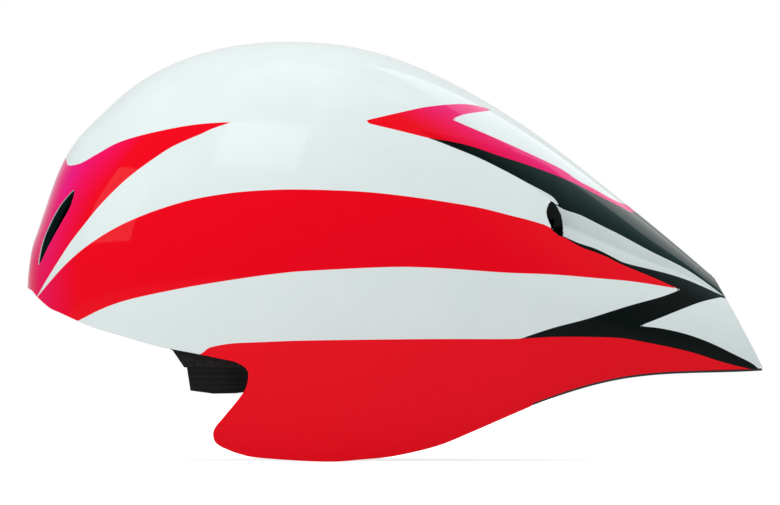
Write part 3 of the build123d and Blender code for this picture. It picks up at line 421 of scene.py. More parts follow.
def used_only(points, faces):
    """The same faces with the vertices that none of them uses left out."""
    used, renumbered = np.unique(faces, return_inverse=True)
    return points[used], renumbered.reshape(faces.shape)


def joined(*meshes):
    """Several sets of points and faces as one."""
    shift, points, faces = 0, [], []
    for p, f in meshes:
        points.append(p)
        faces.append(f + shift)
        shift += len(p)
    return np.vstack(points), np.vstack(faces)


print("field beside the outlet", side_field(OUTLET, np.array([(0.09, 0.13)]))[1])

# %% Mirroring, and the skin itself


def both_sides(points, faces):
    """The right half with its mirror image. Points on the middle plane are shared, and the third
    result tells which right-hand point each point came from."""
    middle = np.abs(points[:, 1]) < 1e-7
    count = len(points)
    number = np.where(middle, np.arange(count), count + np.cumsum(~middle) - 1)
    points = np.vstack([points, points[~middle] * (1, -1, 1)])
    source = np.concatenate([np.arange(count), np.flatnonzero(~middle)])
    return points, np.vstack([faces, number[faces][:, ::-1]]), source


SKIN_GRID, TAIL_SEARCH = (300, 62, 90), 0.02
tail_slope = (tail_crown[0] - tail_foot[0]) / (tail_crown[1] - tail_foot[1])
ends_x = np.linspace(tail_crown[0] - TAIL_SEARCH, tail_crown[0] + TAIL_SEARCH, 4001)
ends_z = section(ends_x)[1]
crossing = np.abs(ends_x - (tail_foot[0] + (ends_z - tail_foot[1]) * tail_slope)).argmin()
CROWN_END = (ends_x[crossing], 0.0, ends_z[crossing])
skin = used_only(*trimmed(
    skin_grid(*SKIN_GRID), [SHELL_SIDE], [INTAKE, OUTLET, SCOOP_SIDE], CROWN_END))
print("right half of the skin", len(skin[0]), "points", len(skin[1]), "faces")

# %% [markdown]
# Around the skin go the small surfaces that make it a real part: the groove, the tail's closed end,
# a rounded lip along the lower edge, rims round the two openings, and the lining inside the rim.
# Each is a grid of its own, because a strip follows an edge far better than a trimmed skin does.

# %% Patches and strips
HOLE_STEP = 0.0012


def patch(grid, towards, rows=None):
    """Points and faces of a grid. The faces are turned so that the sum of their normals, or of
    those in the first rows, looks towards a direction."""
    points, faces = grid.reshape(-1, 3), quads(*grid.shape[:2])
    first = faces.reshape(grid.shape[0] - 1, -1, 4)[:, :rows].reshape(-1, 4)
    a, b, c, d = [points[first[:, corner]] for corner in range(4)]
    looks = np.cross(c - a, d - b).sum(0) @ np.asarray(towards, dtype=float)
    return points, faces if looks > 0 else faces[:, ::-1]


def walked_along(line):
    """The distance walked along a line to each of its points."""
    return np.concatenate([[0], np.cumsum(np.linalg.norm(np.diff(line, axis=0), axis=1))])


def evenly(points, step):
    """Points at equal distances along an open line."""
    walked = walked_along(points)
    at = np.linspace(0, walked[-1], int(walked[-1] / step) + 2)
    return np.stack([np.interp(at, walked, column) for column in points.T], axis=1)


def strip(line, offsets, outwards):
    """A strip along a line on the skin. Each offset is a pair: how far out of the part within the
    skin, towards outwards in the side view, and how far along the skin's normal."""
    points, normal = on_skin(line), skin_normal(*line.T)
    across = unit(np.cross(np.gradient(points, axis=0), normal))
    across *= np.sign((across[:, [0, 2]] * outwards).sum(1, keepdims=True))
    return np.stack([points + across * out + normal * up for out, up in offsets], axis=1)


def hole_strip(hole, offsets):
    """A strip round a hole. Its outwards direction is square to the line and into the hole."""
    line = evenly(np.vstack([hole, hole[:1]]), HOLE_STEP)
    turns = np.sign((line[:-1, 0] * line[1:, 1] - line[1:, 0] * line[:-1, 1]).sum())
    return strip(line, offsets, np.gradient(line, axis=0)[:, ::-1] * (-turns, turns))


print("points round the outlet", len(evenly(OUTLET, HOLE_STEP)))

# %% The groove, open where the outlet is
groove = np.concatenate([groove_grid(crease_x, CREASE), groove_grid(scoop_x, SCOOP)])
groove_points, groove_faces = patch(groove, (0, 1, 0))
rows_across, first_scoop = groove.shape[1], len(crease_x) * groove.shape[1]
shared = np.arange(len(groove_points))
shared[first_scoop - rows_across + EDGE_ROW + 1:first_scoop] += rows_across
groove_faces = shared[groove_faces]
groove_faces = groove_faces[(np.diff(np.sort(groove_faces, axis=1), axis=1) > 0).all(1)]
outlet_near, outlet_field = side_field(OUTLET, groove_points[:, [0, 2]])
middles = groove_points[groove_faces].mean(1)[:, [0, 2]]
in_outlet = (outlet_field[groove_faces].mean(1) < 0) | (side_field(OUTLET, middles)[1] < 0)
cut = np.intersect1d(groove_faces[in_outlet], groove_faces[~in_outlet])
groove_points = groove_points.copy()
groove_points[np.ix_(cut, [0, 2])] = outlet_near[cut]
groove_faces = groove_faces[~in_outlet]
print("groove", len(groove_faces), "faces,", len(cut), "points moved to the outlet's edge")

# %% The lip, the rims and the outlet's wall
EDGE_STEP, EDGE_START = 0.0013, 0.00005
LIP_OUT, LIP_ROWS = 0.0004, 9
edge_line = evenly(LOWER_EDGE[LOWER_EDGE[:, 0] > NOSE + EDGE_START], EDGE_STEP)
edge_run = np.gradient(edge_line, axis=0)
lip = [(LIP_OUT * math.sin(turn), -SHELL_WALL / 2 * (1 - math.cos(turn)))
       for turn in np.linspace(0, math.pi, LIP_ROWS)]
edge = patch(strip(edge_line, lip, edge_run[:, ::-1] * (1, -1)), (0, 1, 0), 1)
RIM = np.array([(-0.5, -0.03), (-0.4, 0.05), (-0.15, 0.07), (0.05, -0.02), (0.1, -0.2), (0.12, -0.55),
                (0.12, -0.7), (0.12, -4.5)]) / 1000
intake_rim = patch(hole_strip(INTAKE, RIM), (0, 1, 0), 2)
WELL = np.array([(-0.2, 0.05), (0.05, -0.1), (0.1, -0.6), (0.1, -3.0), (0.1, -9.0), (0.1, -16.0)]) / 1000
well = hole_strip(OUTLET, WELL)
in_channel = side_field(SCOOP_SIDE, well[:, 0, [0, 2]])[1] < 0
under = np.linalg.norm(well[:, :1, [0, 2]] - groove_points[None, :, [0, 2]], axis=2).argmin(1)
well[..., 1] = np.minimum(well[..., 1], np.where(in_channel, groove_points[under, 1], 1.0)[:, None])
outlet_wall = patch(well, (0, 1, 0), 1)
print("lip", len(edge[1]), "rim", len(intake_rim[1]), "wall", len(outlet_wall[1]))

# %% The tail's end and the lining
TAIL_BULGE, TAIL_GRID = 0.0011, (60, 16)
LINING_HEIGHT, LINING_SHARE, LINING_GRID = 0.100, 0.98, (120, 34, 12)
LINING_BOX = (-0.22, -0.03, 0.21, LINING_HEIGHT)
rise, part = np.linspace(0, 1, TAIL_GRID[0])[:, None], np.linspace(0, 1, TAIL_GRID[1])
tail_rows = tail_foot + (np.array([CROWN_END[0], CROWN_END[2]]) - tail_foot) * rise
tail_half = skin_y(*tail_rows.T)[:, None]
tail_half[-1] = 0
bulge = TAIL_BULGE * np.sqrt(1 - part**4) * np.sin(np.pi * rise) ** 0.3
tail_cap = patch(np.stack([tail_rows[:, :1] + bulge, part * tail_half, tail_rows[:, 1:] + 0 * bulge],
                          axis=-1), (1, 0, 0))

start, low, end, high = LINING_BOX
low_part = np.array([(start, low), (end, low), (end, high), (start, high)])
lining_points, lining_faces = trimmed(skin_grid(*LINING_GRID), [SHELL_SIDE, low_part], [SCOOP_SIDE])
lining_normal = skin_normal(lining_points[:, 0], np.minimum(lining_points[:, 2], high + 0.002))
lining_points = lining_points - lining_normal * SHELL_WALL * LINING_SHARE
lining_points[:, 1] = np.maximum(lining_points[:, 1], 0)
lining = used_only(lining_points, lining_faces[:, ::-1])
print("tail", len(tail_cap[1]), "lining", len(lining[1]))

# %% [markdown]
# The paint is drawn as outlines in the side view too. Each colour's field is the smallest of its
# outlines' fields, stored at every vertex. The material then cuts the colour where the field
# passes zero, so the lines stay sharp at any distance without a picture.

# %% The livery's outlines
SWOOSH = outline(
    [(0, 140), (58, 154), (67, 165)],
    [(67, 165), (72, 165.2), (82, 162.5), (98, 153.5), (116.5, 143.5), (137, 136.7), (163.5, 130.5),
     (193, 125.3), (220, 123), (250, 122.3)],
    [(250, 122.3), (220, 126.8), (200, 135), (173.5, 146.7), (153.5, 159.5), (133.5, 174), (116.5, 189),
     (100, 206), (83.5, 226), (70, 243.5), (56.7, 263.5), (45, 282), (36, 297)],
    [(36, 297), (30, 305), (0, 305)])
BAND = outline(
    [(34, 300), (38, 295.5), (50, 281.5), (63.5, 266.7), (80, 251.7), (100, 237.5), (120, 226),
     (140, 217), (160, 209.5), (187, 201.3), (213, 196), (247, 191.7), (290, 189.8), (340, 190.8),
     (375, 193), (410, 197), (445, 202), (480, 208), (508, 215), (528, 220), (545, 225)],
    [(545, 225), (561.5, 234), (574.7, 243), (594.6, 251), (607, 257), (618, 262.8), (632, 268.8),
     (653, 277.3), (670, 284.8), (682, 289.4)],
    [(682, 289.4), (653, 284.5), (628, 281), (595, 278), (553, 274.5), (504, 272.5), (438, 268),
     (389, 267), (308, 270.8), (280, 273.3), (254, 276.6), (220, 281.7), (187, 287.3), (153.3, 294),
     (126.7, 300.3), (103.3, 308.5), (80, 320)],
    [(80, 320), (20, 345), (20, 300)])
EAR_TOP = [(259, 341.7), (308, 340), (417, 338.7), (504, 338.7), (520, 338.3)]
EAR_BACK = [(520, 338.3), (553, 336.7), (586, 336.7), (620, 338), (644, 342), (669, 347), (694, 353),
            (719, 361), (739, 366.5), (759, 370.7)]
EAR_COVER = outline(
    [(160, 370), (180, 360), (201, 353.7), (211, 347), (232.5, 343), (259, 341.7)],
    EAR_TOP, EAR_BACK, [(759, 370.7), (780, 380), (780, 480), (160, 480)])
SPINE_LINE = [(427, 138), (452, 142), (473, 147), (501, 156.5), (522, 163), (553, 174), (576.5, 184),
              (590, 191), (606, 199), (620, 206), (633, 213)]
ARROW = outline(
    [(361, 122), (399, 113), (427, 107), (456.5, 104), (475, 105), (493, 110)],
    [(493, 110), (466, 114), (451.5, 119.3)],
    [(451.5, 119.3), (466, 125.6), (494, 137.5), (522, 150), (560, 168), (578, 180), (595, 189),
     (611, 198), (624, 203.5), (640, 208.5)],
    [(640, 208.5), (633, 213)], SPINE_LINE[::-1],
    [(427, 138), (403, 132), (382, 127), (361, 122)])
SPINE = outline(
    [(column + 0.8, row - 1.5) for column, row in SPINE_LINE],
    [(633.8, 211.5), (645, 205), (780, 290), (780, 296), (726, 298.5)],
    [(726, 298.5), (705.7, 292), (685.8, 283), (668, 272), (652.6, 262), (619.5, 244), (594.6, 232),
     (573, 222), (559.8, 216)],
    [(559.8, 216), (559.8, 206.5)],
    [(559.8, 206.5), (554.7, 199), (547.7, 193.7), (529, 183.8), (508, 172.6), (480, 158.6), (459, 150),
     (438, 141.7), (427, 138)])
FLASH_TOP = [(682, 289.4), (661, 297), (628, 306), (586, 319), (553, 327.6), (520, 338.3)]
SIDE_FLASH = outline(
    [(606, 252), (617.8, 257.5), (630, 261.5), (652.6, 267), (685.8, 276.5), (705.7, 284),
     (725.6, 296.9)],
    [(725.6, 296.9), (716, 298.6), (702, 302), (686, 307.7), (661, 317.6), (639.4, 326)],
    [(639.4, 326), (661, 328.4), (686, 334), (711, 343), (736, 355), (752, 363), (760, 369)],
    [(760, 369), (759, 374)], [(column, row + 4) for column, row in EAR_BACK[::-1]],
    [(520, 342.3), (508, 342.3), (520, 338.3)], FLASH_TOP[::-1],
    [(682, 289.4), (667, 285.8), (648, 280), (628, 272), (606, 262)])
SHAPES = {"black": (SPINE, SIDE_FLASH), "upper_red": (SWOOSH, ARROW), "lower_red": (BAND, EAR_COVER)}
SHAPES = {paint: [side_view(shape) for shape in shapes] for paint, shapes in SHAPES.items()}
print("outlines", {paint: len(shapes) for paint, shapes in SHAPES.items()})

# %% The paint on each surface
FAR = 0.02
LIP_INNER_ROW, RIM_WHITE_ROW, RIM_BLACK_ROW = 5, 3, 5
EDGE_LINE, RIM_LINE = 0.0004, 0.0006
# The undercut's painted shade: where its crescent starts along X, how long it runs, and its greatest and
# least height over the rim.
UNDERCUT_SHADE_START, UNDERCUT_SHADE_LENGTH, UNDERCUT_SHADE_HIGH, UNDERCUT_SHADE_LEAST = 0.0894, 0.0353, 0.0021, 0.0003


def paint_fields(points):
    """Each paint's field at the points: the least of its outlines' fields."""
    spots = points[:, [0, 2]]
    return {paint: np.min([side_field(shape, spots)[1] for shape in shapes], axis=0)
            for paint, shapes in SHAPES.items()}


def repaint(fields, where, black):
    """Takes the red away from some vertices and sets their black field."""
    for paint in ("upper_red", "lower_red"):
        fields[paint][where] = FAR
    fields["black"][where] = black


row = np.tile(np.arange(rows_across), len(groove))
in_scoop = np.arange(len(groove_points)) >= first_scoop
over_rim = groove_points[:, 2] - np.repeat(groove[:, 0, 2], rows_across)
along = np.clip((groove_points[:, 0] - UNDERCUT_SHADE_START) / UNDERCUT_SHADE_LENGTH, 0, 1)
undercut_shade = np.maximum(UNDERCUT_SHADE_HIGH * np.sin(math.pi * along), UNDERCUT_SHADE_LEAST)
foot, head = INTAKE[INTAKE[:, 1].argmin()], INTAKE[INTAKE[:, 1].argmax()]
from_foot = intake_rim[0][::len(RIM)][:, [0, 2]] - foot
nose_side = np.repeat((head - foot)[0] * from_foot[:, 1] > (head - foot)[1] * from_foot[:, 0], len(RIM))
rim_row = np.tile(np.arange(len(RIM)), len(from_foot))

surfaces = {"skin": skin, "groove": (groove_points, groove_faces), "edge": edge, "tail": tail_cap,
            "intake": intake_rim, "outlet": outlet_wall, "lining": lining}
fields = {name: paint_fields(surface[0]) for name, surface in surfaces.items()}
# Painted shade of the undercut: in the scoop the wall under the rim and a band over it are painted black,
# widest in a crescent behind the outlet. The rest of the channel is painted white.
channel = in_scoop & (row < EDGE_ROW)
repaint(fields["groove"], channel, (over_rim - undercut_shade)[channel])
repaint(fields["groove"], in_scoop & (row == EDGE_ROW), -EDGE_LINE)
repaint(fields["edge"], np.tile(np.arange(len(lip)), len(edge_line)) > LIP_INNER_ROW, -FAR)
repaint(fields["intake"], rim_row > RIM_WHITE_ROW, RIM_LINE)
repaint(fields["intake"], rim_row > np.where(nose_side, RIM_BLACK_ROW, RIM_WHITE_ROW), -RIM_LINE)
for name in ("outlet", "lining"):
    repaint(fields[name], slice(None), -FAR)
paints = {paint: np.concatenate([fields[name][paint] for name in surfaces]) for paint in SHAPES}
print("painted vertices", {paint: int((values < 0).sum()) for paint, values in paints.items()})

# %% [markdown]
# The mesh takes all those surfaces, their mirror image and the paint's fields. A last field is a
# painted sheen. It tells where the skin turns from the side towards the top or the nose, and there
# the red is painted pinker and the black paler, a painted reflection of the clear coat.

# %% The shell as one piece
PAINTED_SHEEN_START, PAINTED_SHEEN_SPAN, PAINTED_SHEEN_LEVEL, PAINTED_SHEEN_RISE = 0.27, 0.24, 0.45, 1.6


def placed(name, data):
    """An object with its data, linked into the scene."""
    obj = bpy.data.objects.new(name, data)
    bpy.context.scene.collection.objects.link(obj)
    return obj


def smooth(mesh, sharp=None):
    """Smooth shading, with edges sharper than an angle in degrees kept sharp."""
    mesh.polygons.foreach_set("use_smooth", np.ones(len(mesh.polygons), dtype=bool))
    if sharp:
        mesh.set_sharp_from_angle(angle=math.radians(sharp))


def new_piece(name, points, faces, uv=None, sharp=None):
    """A mesh object at the origin, smooth shaded, with an optional UV for every vertex."""
    mesh = bpy.data.meshes.new(name)
    mesh.from_pydata(np.asarray(points, dtype=float).tolist(), [], [list(face) for face in faces])
    mesh.validate()
    smooth(mesh, sharp)
    if uv is not None:
        layer = mesh.uv_layers.new(name="own")
        corner = np.empty(len(mesh.loops), dtype=np.int64)
        mesh.loops.foreach_get("vertex_index", corner)
        layer.data.foreach_set("uv", np.asarray(uv, dtype=np.float32)[corner].ravel())
    return placed(name, mesh)


def store(obj, name, values):
    """One number for each vertex, kept as an attribute that a material can read."""
    layer = obj.data.attributes.new(name, "FLOAT", "POINT")
    layer.data.foreach_set("value", np.asarray(values, dtype=np.float32))


points, faces = joined(*surfaces.values())
points, faces, source = both_sides(points, faces)
shell = new_piece("lacquered_shell", points, faces, sharp=38)
for paint, values in paints.items():
    store(shell, paint, values[source])
plain = skin_normal(points[:, 0], points[:, 2])
# Painted sheen: red and black are painted paler where the skin faces up or towards the nose, in place of
# the coat's reflection.
away = np.clip((1 - np.abs(plain[:, 1]) - PAINTED_SHEEN_START) / PAINTED_SHEEN_SPAN, 0, 1)
store(shell, "pearl", away * np.clip(PAINTED_SHEEN_LEVEL + PAINTED_SHEEN_RISE * plain[:, 2], 0, 1))
print("shell", len(points), "points", len(faces), "faces")

# %% [markdown]
# Every finish is built from the same few steps: a base, a pattern that bends the surface a little,
# and a slow noise that varies the roughness, since no real surface is equally smooth everywhere.
# All patterns read Object coordinates or the piece's own UV, so they stay with the piece.

# %% Nodes and their links


class Nodes:
    """A tree of shader nodes and short ways to add to it."""

    def __init__(self, tree):
        self.tree = tree

    def add(self, kind, links=(), **settings):
        """A node with its settings and its links, each an input and an output."""
        node = self.tree.nodes.new(kind)
        for key, value in settings.items():
            setattr(node, key, value)
        for key, value in dict(links).items():
            self.put(node, key, value)
        return node

    def put(self, node, key, value):
        """Sets an input, or links it where the value is another node's output."""
        if isinstance(value, bpy.types.NodeSocket):
            self.tree.links.new(value, node.inputs[key])
        else:
            node.inputs[key].default_value = value

    def between(self, value, low, high, from_low=0.0, from_high=1.0):
        """A value moved from one range to another."""
        return self.add("ShaderNodeMapRange", {
            "Value": value, "From Min": from_low, "From Max": from_high, "To Min": low,
            "To Max": high}).outputs["Result"]


print("ways to add nodes", [way for way in vars(Nodes) if not way.startswith("_")])

# %% A material with its patterns


class Finish(Nodes):
    """A Principled material and short ways to add its pattern nodes."""

    def __init__(self, name, colour, roughness, metallic=0.0, specular=0.5):
        self.material = bpy.data.materials.new(name)
        self.material.use_nodes = True
        super().__init__(self.material.node_tree)
        self.shader = next(node for node in self.tree.nodes if node.type == "BSDF_PRINCIPLED")
        self.set("Base Color", (*colour, 1))
        self.set("Roughness", roughness)
        self.set("Metallic", metallic)
        self.set("Specular IOR Level", specular)
        self.coordinates = self.add("ShaderNodeTexCoord")

    def set(self, key, value):
        """Sets or links one of the shader's own inputs."""
        self.put(self.shader, key, value)

    def place(self, space="Object", stretch=(1, 1, 1)):
        """Coordinates of a space, stretched."""
        return self.add("ShaderNodeMapping", {
            "Vector": self.coordinates.outputs[space], "Scale": stretch}).outputs["Vector"]

    def noise(self, size, detail=3, where=None):
        """Smooth noise whose grains are about as large as size, in metres."""
        return self.add("ShaderNodeTexNoise", {
            "Vector": where or self.coordinates.outputs["Object"], "Scale": 1 / size,
            "Detail": detail}).outputs["Fac"]

    def waves(self, where, direction, scale=0.314, distortion=0.0, detail=2.0):
        """Regular waves in one direction."""
        return self.add("ShaderNodeTexWave", {
            "Vector": where, "Scale": scale, "Distortion": distortion, "Detail": detail},
            bands_direction=direction).outputs["Fac"]

    def product(self, one, other):
        """Two values multiplied."""
        return self.add("ShaderNodeMath", {0: one, 1: other}, operation="MULTIPLY").outputs[0]

    def mix(self, part, one, other):
        """A colour between two."""
        node = self.add("ShaderNodeMix", data_type="RGBA")
        self.put(node, 0, part)
        for index, colour in ((6, one), (7, other)):
            self.put(node, index, colour if isinstance(colour, bpy.types.NodeSocket) else (*colour, 1))
        return node.outputs[2]

    def bump(self, height, distance, strength=1.0, under=None):
        """A normal bent by a height of up to distance, in metres, on top of another bump."""
        links = {"Height": height, "Distance": distance, "Strength": strength}
        if under is not None:
            links["Normal"] = under
        normal = self.add("ShaderNodeBump", links).outputs["Normal"]
        self.set("Normal", normal)
        return normal

    def vary(self, low, high, grain):
        """Roughness that wanders between two values as a noise does."""
        self.set("Roughness", self.between(grain, low, high, 0.3, 0.7))

    def tinted(self, one, other, size):
        """A colour that wanders between two close colours."""
        return self.mix(self.between(self.noise(size), 0, 1, 0.35, 0.65), one, other)


def dimmed(colour, share):
    """A colour with each channel multiplied by a share."""
    return tuple(value * share for value in colour)


print("grey at half its level", dimmed((0.5, 0.5, 0.5), 0.5))

# %% [markdown]
# The shell is painted and then sprayed with a clear coat that never dries quite flat. A picture
# could hold the paint, but it would blur close up, so the stored fields choose the colours. The
# coat mirrors on its own, with a painted sheen on top where the skin turns away, and two fine bumps
# give it its orange peel.

# %% The shell's lacquer


def lacquer():
    """Three painted colours under one clear coat. The stored fields choose the colour, and the
    painted sheen field moves red and black towards paler tones, a painted reflection, where the skin
    turns away."""
    look = Finish("lacquer", (0.8, 0.8, 0.8), 0.4, specular=0.01)
    white = look.tinted((0.735, 0.825, 0.822), (0.755, 0.84, 0.836), 0.03)
    # The second red and the second black are painted sheen, paler tones standing in for the coat's
    # reflection.
    pearl = look.add("ShaderNodeAttribute", attribute_name="pearl").outputs["Fac"]
    red = look.mix(pearl, (0.86, 0.0012, 0.0115), (0.84, 0.004, 0.20))
    black = look.mix(pearl, (0.0006, 0.0038, 0.0034), (0.010, 0.034, 0.031))
    colour, edge = white, 0.00007
    for name, paint in (("black", black), ("upper_red", red), ("lower_red", red)):
        field = look.add("ShaderNodeAttribute", attribute_name=name).outputs["Fac"]
        colour = look.mix(look.between(field, 1, 0, -edge, edge), colour, paint)
    look.set("Base Color", colour)
    look.set("Coat Weight", 1.0)
    look.set("Coat Roughness", 0.035)
    look.set("Coat IOR", 1.2)
    peel = look.bump(look.noise(0.0035, 1), 0.000004)
    look.bump(look.noise(0.00025, 2), 0.0000012, 1.0, peel)
    return look.material


finishes = {"shell": lacquer()}
print("lacquer", len(finishes["shell"].node_tree.nodes), "nodes")

# %% [markdown]
# Behind the shell is bead foam, whose cells show as a net of seams. The fittings are moulded with a
# grained skin, and only the screws and pins are metal. Cells, grain and turned lines are all too
# small to model, so each is a bump of its real depth in metres.

# %% Foam, plastics and metal


def bead_foam():
    """Moulded bead foam: closed cells a few millimetres wide with a thin seam between them."""
    look = Finish("bead_foam", (0.007, 0.006, 0.0055), 0.72, specular=0.25)
    cells = look.add("ShaderNodeTexVoronoi", {
        "Vector": look.coordinates.outputs["Object"], "Scale": 310.0}, feature="DISTANCE_TO_EDGE")
    seam = look.between(cells.outputs["Distance"], 0, 1, 0.0, 0.16)
    look.set("Base Color", look.mix(seam, (0.0035, 0.003, 0.0027), (0.010, 0.0088, 0.008)))
    soft = look.bump(seam, 0.00022, 0.8)
    look.bump(look.noise(0.0004, 3), 0.00003, 0.6, soft)
    look.vary(0.55, 0.8, look.noise(0.004))
    return look.material


def moulded(name, colour, low, high, grain=0.0005, depth=0.000012, **more):
    """Moulded plastic with a fine spark-eroded grain."""
    look = Finish(name, colour, low, **more)
    look.set("Base Color", look.tinted(colour, dimmed(colour, 0.8), 0.02))
    look.vary(low, high, look.noise(0.02))
    look.bump(look.noise(grain, 4), depth)
    return look


def ribbed_nylon():
    """Nylon arm with fine moulded lines along it."""
    look = moulded("ribbed_nylon", (0.0065, 0.007, 0.0068), 0.42, 0.56, specular=0.3)
    lines = look.waves(look.coordinates.outputs["Object"], "Z", 105.0)
    steep = look.between(lines, 0, 1, 0.05, 0.35)
    look.bump(steep, 0.00008, 0.6, look.bump(look.noise(0.0005, 4), 0.00001))
    return look.material


def brushed_steel():
    """Turned and plated steel with faint lines round it."""
    look = Finish("plated_steel", (0.55, 0.55, 0.53), 0.3, metallic=1.0)
    streaks = look.noise(0.0006, 3, look.place(stretch=(6, 1, 1)))
    look.vary(0.22, 0.42, streaks)
    look.bump(streaks, 0.000008)
    return look.material


finishes |= {
    "foam": bead_foam(),
    "base": moulded("satin_black", (0.0035, 0.005, 0.005), 0.28, 0.4, 0.0007, 0.000006).material,
    "arm": ribbed_nylon(),
    "fitting": moulded("nylon_fitting", (0.018, 0.018, 0.018), 0.42, 0.6).material,
    "gear": moulded("natural_acetal", (0.70, 0.69, 0.64), 0.3, 0.45, 0.0006, 0.000006).material,
    "knob": moulded("soft_rubber", (0.016, 0.016, 0.017), 0.7, 0.85, 0.0004, 0.00002).material,
    "steel": brushed_steel(),
    "buckle": moulded("glossy_acetal", (0.010, 0.010, 0.011), 0.22, 0.34, 0.0008, 0.000005).material,
    "keeper": moulded("strap_rubber", (0.012, 0.012, 0.012), 0.6, 0.75, 0.0005, 0.00001).material,
}
print("hard finishes", len(finishes))

# %% [markdown]
# Pads wear a knit and straps are woven. Modelled yarns would cost millions of faces, so two waves
# at right angles, multiplied, make the loops. They read the piece's own UV in metres, which keeps
# the pitch right on every pad and lets the ribs follow a strap's bends.

# %% Cloth, and a finish for every piece


def knit(name, colour, pitch=0.0011):
    """Knitted cover: small loops on the piece's own UV, in metres, with a fuzz of fibres."""
    look = Finish(name, colour, 0.92, specular=0.2)
    where = look.place("UV", (1 / pitch, 1 / pitch, 1))
    both = look.product(*[look.waves(where, axis, distortion=0.6, detail=0.0) for axis in ("X", "Y")])
    look.set("Base Color", look.mix(both, dimmed(colour, 0.45), colour))
    look.bump(look.noise(0.0003, 4), 0.00004, 0.5, look.bump(both, 0.0003, 0.9))
    look.set("Sheen Weight", 0.25)
    look.set("Sheen Roughness", 0.5)
    return look.material


def webbing_weave():
    """Woven webbing: ribs across the strap, crossed by finer yarns along it, from its own UV."""
    look = Finish("webbing_weave", (0.014, 0.014, 0.015), 0.7, specular=0.3)
    across = look.waves(look.place("UV", (1 / 0.0011, 1 / 0.0011, 1)), "DIAGONAL", distortion=0.3)
    along = look.waves(look.place("UV", (1 / 0.0009, 1 / 0.0009, 1)), "Y", distortion=0.2)
    both = look.product(across, along)
    look.set("Base Color", look.mix(both, (0.006, 0.006, 0.0065), (0.024, 0.024, 0.026)))
    look.bump(both, 0.0003, 0.9)
    return look.material


finishes |= {"pad": knit("knitted_cover", (0.020, 0.020, 0.023)), "webbing": webbing_weave()}
SLOT_OF = {part["node"]: part["material_slot"] for part in frame["record"]["subparts"]}
BODY_OF = {node: body for body, nodes in frame["record"]["behaviour"]["bodies"].items() for node in nodes}


def stands_for(obj, node, bends=None):
    """The piece is shown instead of a CAD node and has its finish. It moves with the node's body; a
    piece given bends has its place baked into its points and joins no body."""
    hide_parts(node)
    if bends:
        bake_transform(obj)
    else:
        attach(obj, BODY_OF[node])
    obj.data.materials.clear()
    obj.data.materials.append(finishes[SLOT_OF[node]])


stands_for(shell, "outer_shell")
for name, obj in frame["nodes"].items():
    obj.data.materials.clear()
    obj.data.materials.append(finishes[SLOT_OF[name]])
print("finishes", len(finishes))

# %% [markdown]
# The pads are fabric over soft foam. Each is a closed cushion: rings run from the middle of one
# face over the rim to the middle of the other, and a place function bends the flat cushion to the
# wall it rests on. A shallow line near the rim stands for the weld round a die-cut pad.

# %% Cushions
WELD_PLACE, WELD_WIDTH, WELD_DEPTH = 0.80, 0.035, 0.28


def cushion(name, place, half_long, half_wide, wall, corner=4.0, puff=0.0006, rings=36, spokes=128):
    """A closed cushion. A ring's share is the sine of its angle. Its outline is a superellipse
    whose exponent is corner, and its thickness falls to the rim as a power of the share."""
    angle = np.linspace(0, math.pi, 2 * rings + 1)[1:-1, None]
    share = np.sin(angle)
    turn = np.linspace(0, 2 * math.pi, spokes, endpoint=False)[None]
    boxy = (np.abs(np.cos(turn)) ** corner + np.abs(np.sin(turn)) ** corner) ** (-1 / corner)
    a, b = half_long * share * boxy * np.cos(turn), half_wide * share * boxy * np.sin(turn)
    weld = 1 - WELD_DEPTH * np.exp(-(((share - WELD_PLACE) / WELD_WIDTH) ** 2))
    soft = 1 + puff / wall * (1 - share**2)
    depth = np.sign(np.cos(angle)) * (1 - share**6) ** (1 / 3) * wall / 2 * weld * soft + 0 * turn
    flat = np.stack([a, b, depth], axis=-1).reshape(-1, 3)
    middle = wall / 2 * (1 + puff / wall)
    flat = np.vstack([flat, [(0, 0, middle), (0, 0, -middle)]])
    number = np.arange((2 * rings - 1) * spokes).reshape(-1, spokes)
    around = np.roll(number, -1, axis=1)
    faces = np.stack([number[:-1], number[1:], around[1:], around[:-1]], axis=-1).reshape(-1, 4).tolist()
    top, bottom = number.size, number.size + 1
    faces += [[top, int(one), int(two)] for one, two in zip(number[0], around[0])]
    faces += [[bottom, int(two), int(one)] for one, two in zip(number[-1], around[-1])]
    points = place(*flat.T)
    a0, b0, c0 = (points[[face[corner] for face in faces[:-spokes * 2]]] for corner in (0, 1, 2))
    outward = (np.cross(b0 - a0, c0 - b0) * ((a0 + c0) / 2 - points.mean(0))).sum()
    if outward < 0:
        faces = [face[::-1] for face in faces]
    obj = new_piece(name + "_cover", points, faces, flat[:, :2])
    stands_for(obj, name)


print("a cushion's weld leaves", 1 - WELD_DEPTH, "of its thickness")

# %% Where the pads rest
HEAD = {"x": -0.060, "z": 0.095, "long": 0.104, "wide": 0.076, "high": 0.105}
PAD_GAP, PAD_WALL = 0.0005, 0.0056
EAR_PAD = {"x": -0.048, "z": 0.028, "inset": SHELL_WALL + 0.0003 + 0.0035 / 2 + 0.0001}


def head_wall(turn, height):
    """Places beside the head: a along the wall round the head, b upwards, depth towards the foam.
    The wall is half an ellipsoid over a straight collar."""
    def place(a, b, depth):
        inset = PAD_GAP + PAD_WALL / 2 - depth
        z = height + b
        rise = np.clip((z - HEAD["z"]) / (HEAD["high"] - inset), 0, 0.999)
        reach = np.sqrt(1 - rise**2)
        angle = turn + a
        return np.stack([HEAD["x"] + (HEAD["long"] - inset) * reach * np.cos(angle),
                         (HEAD["wide"] - inset) * reach * np.sin(angle), z], axis=1)
    return place


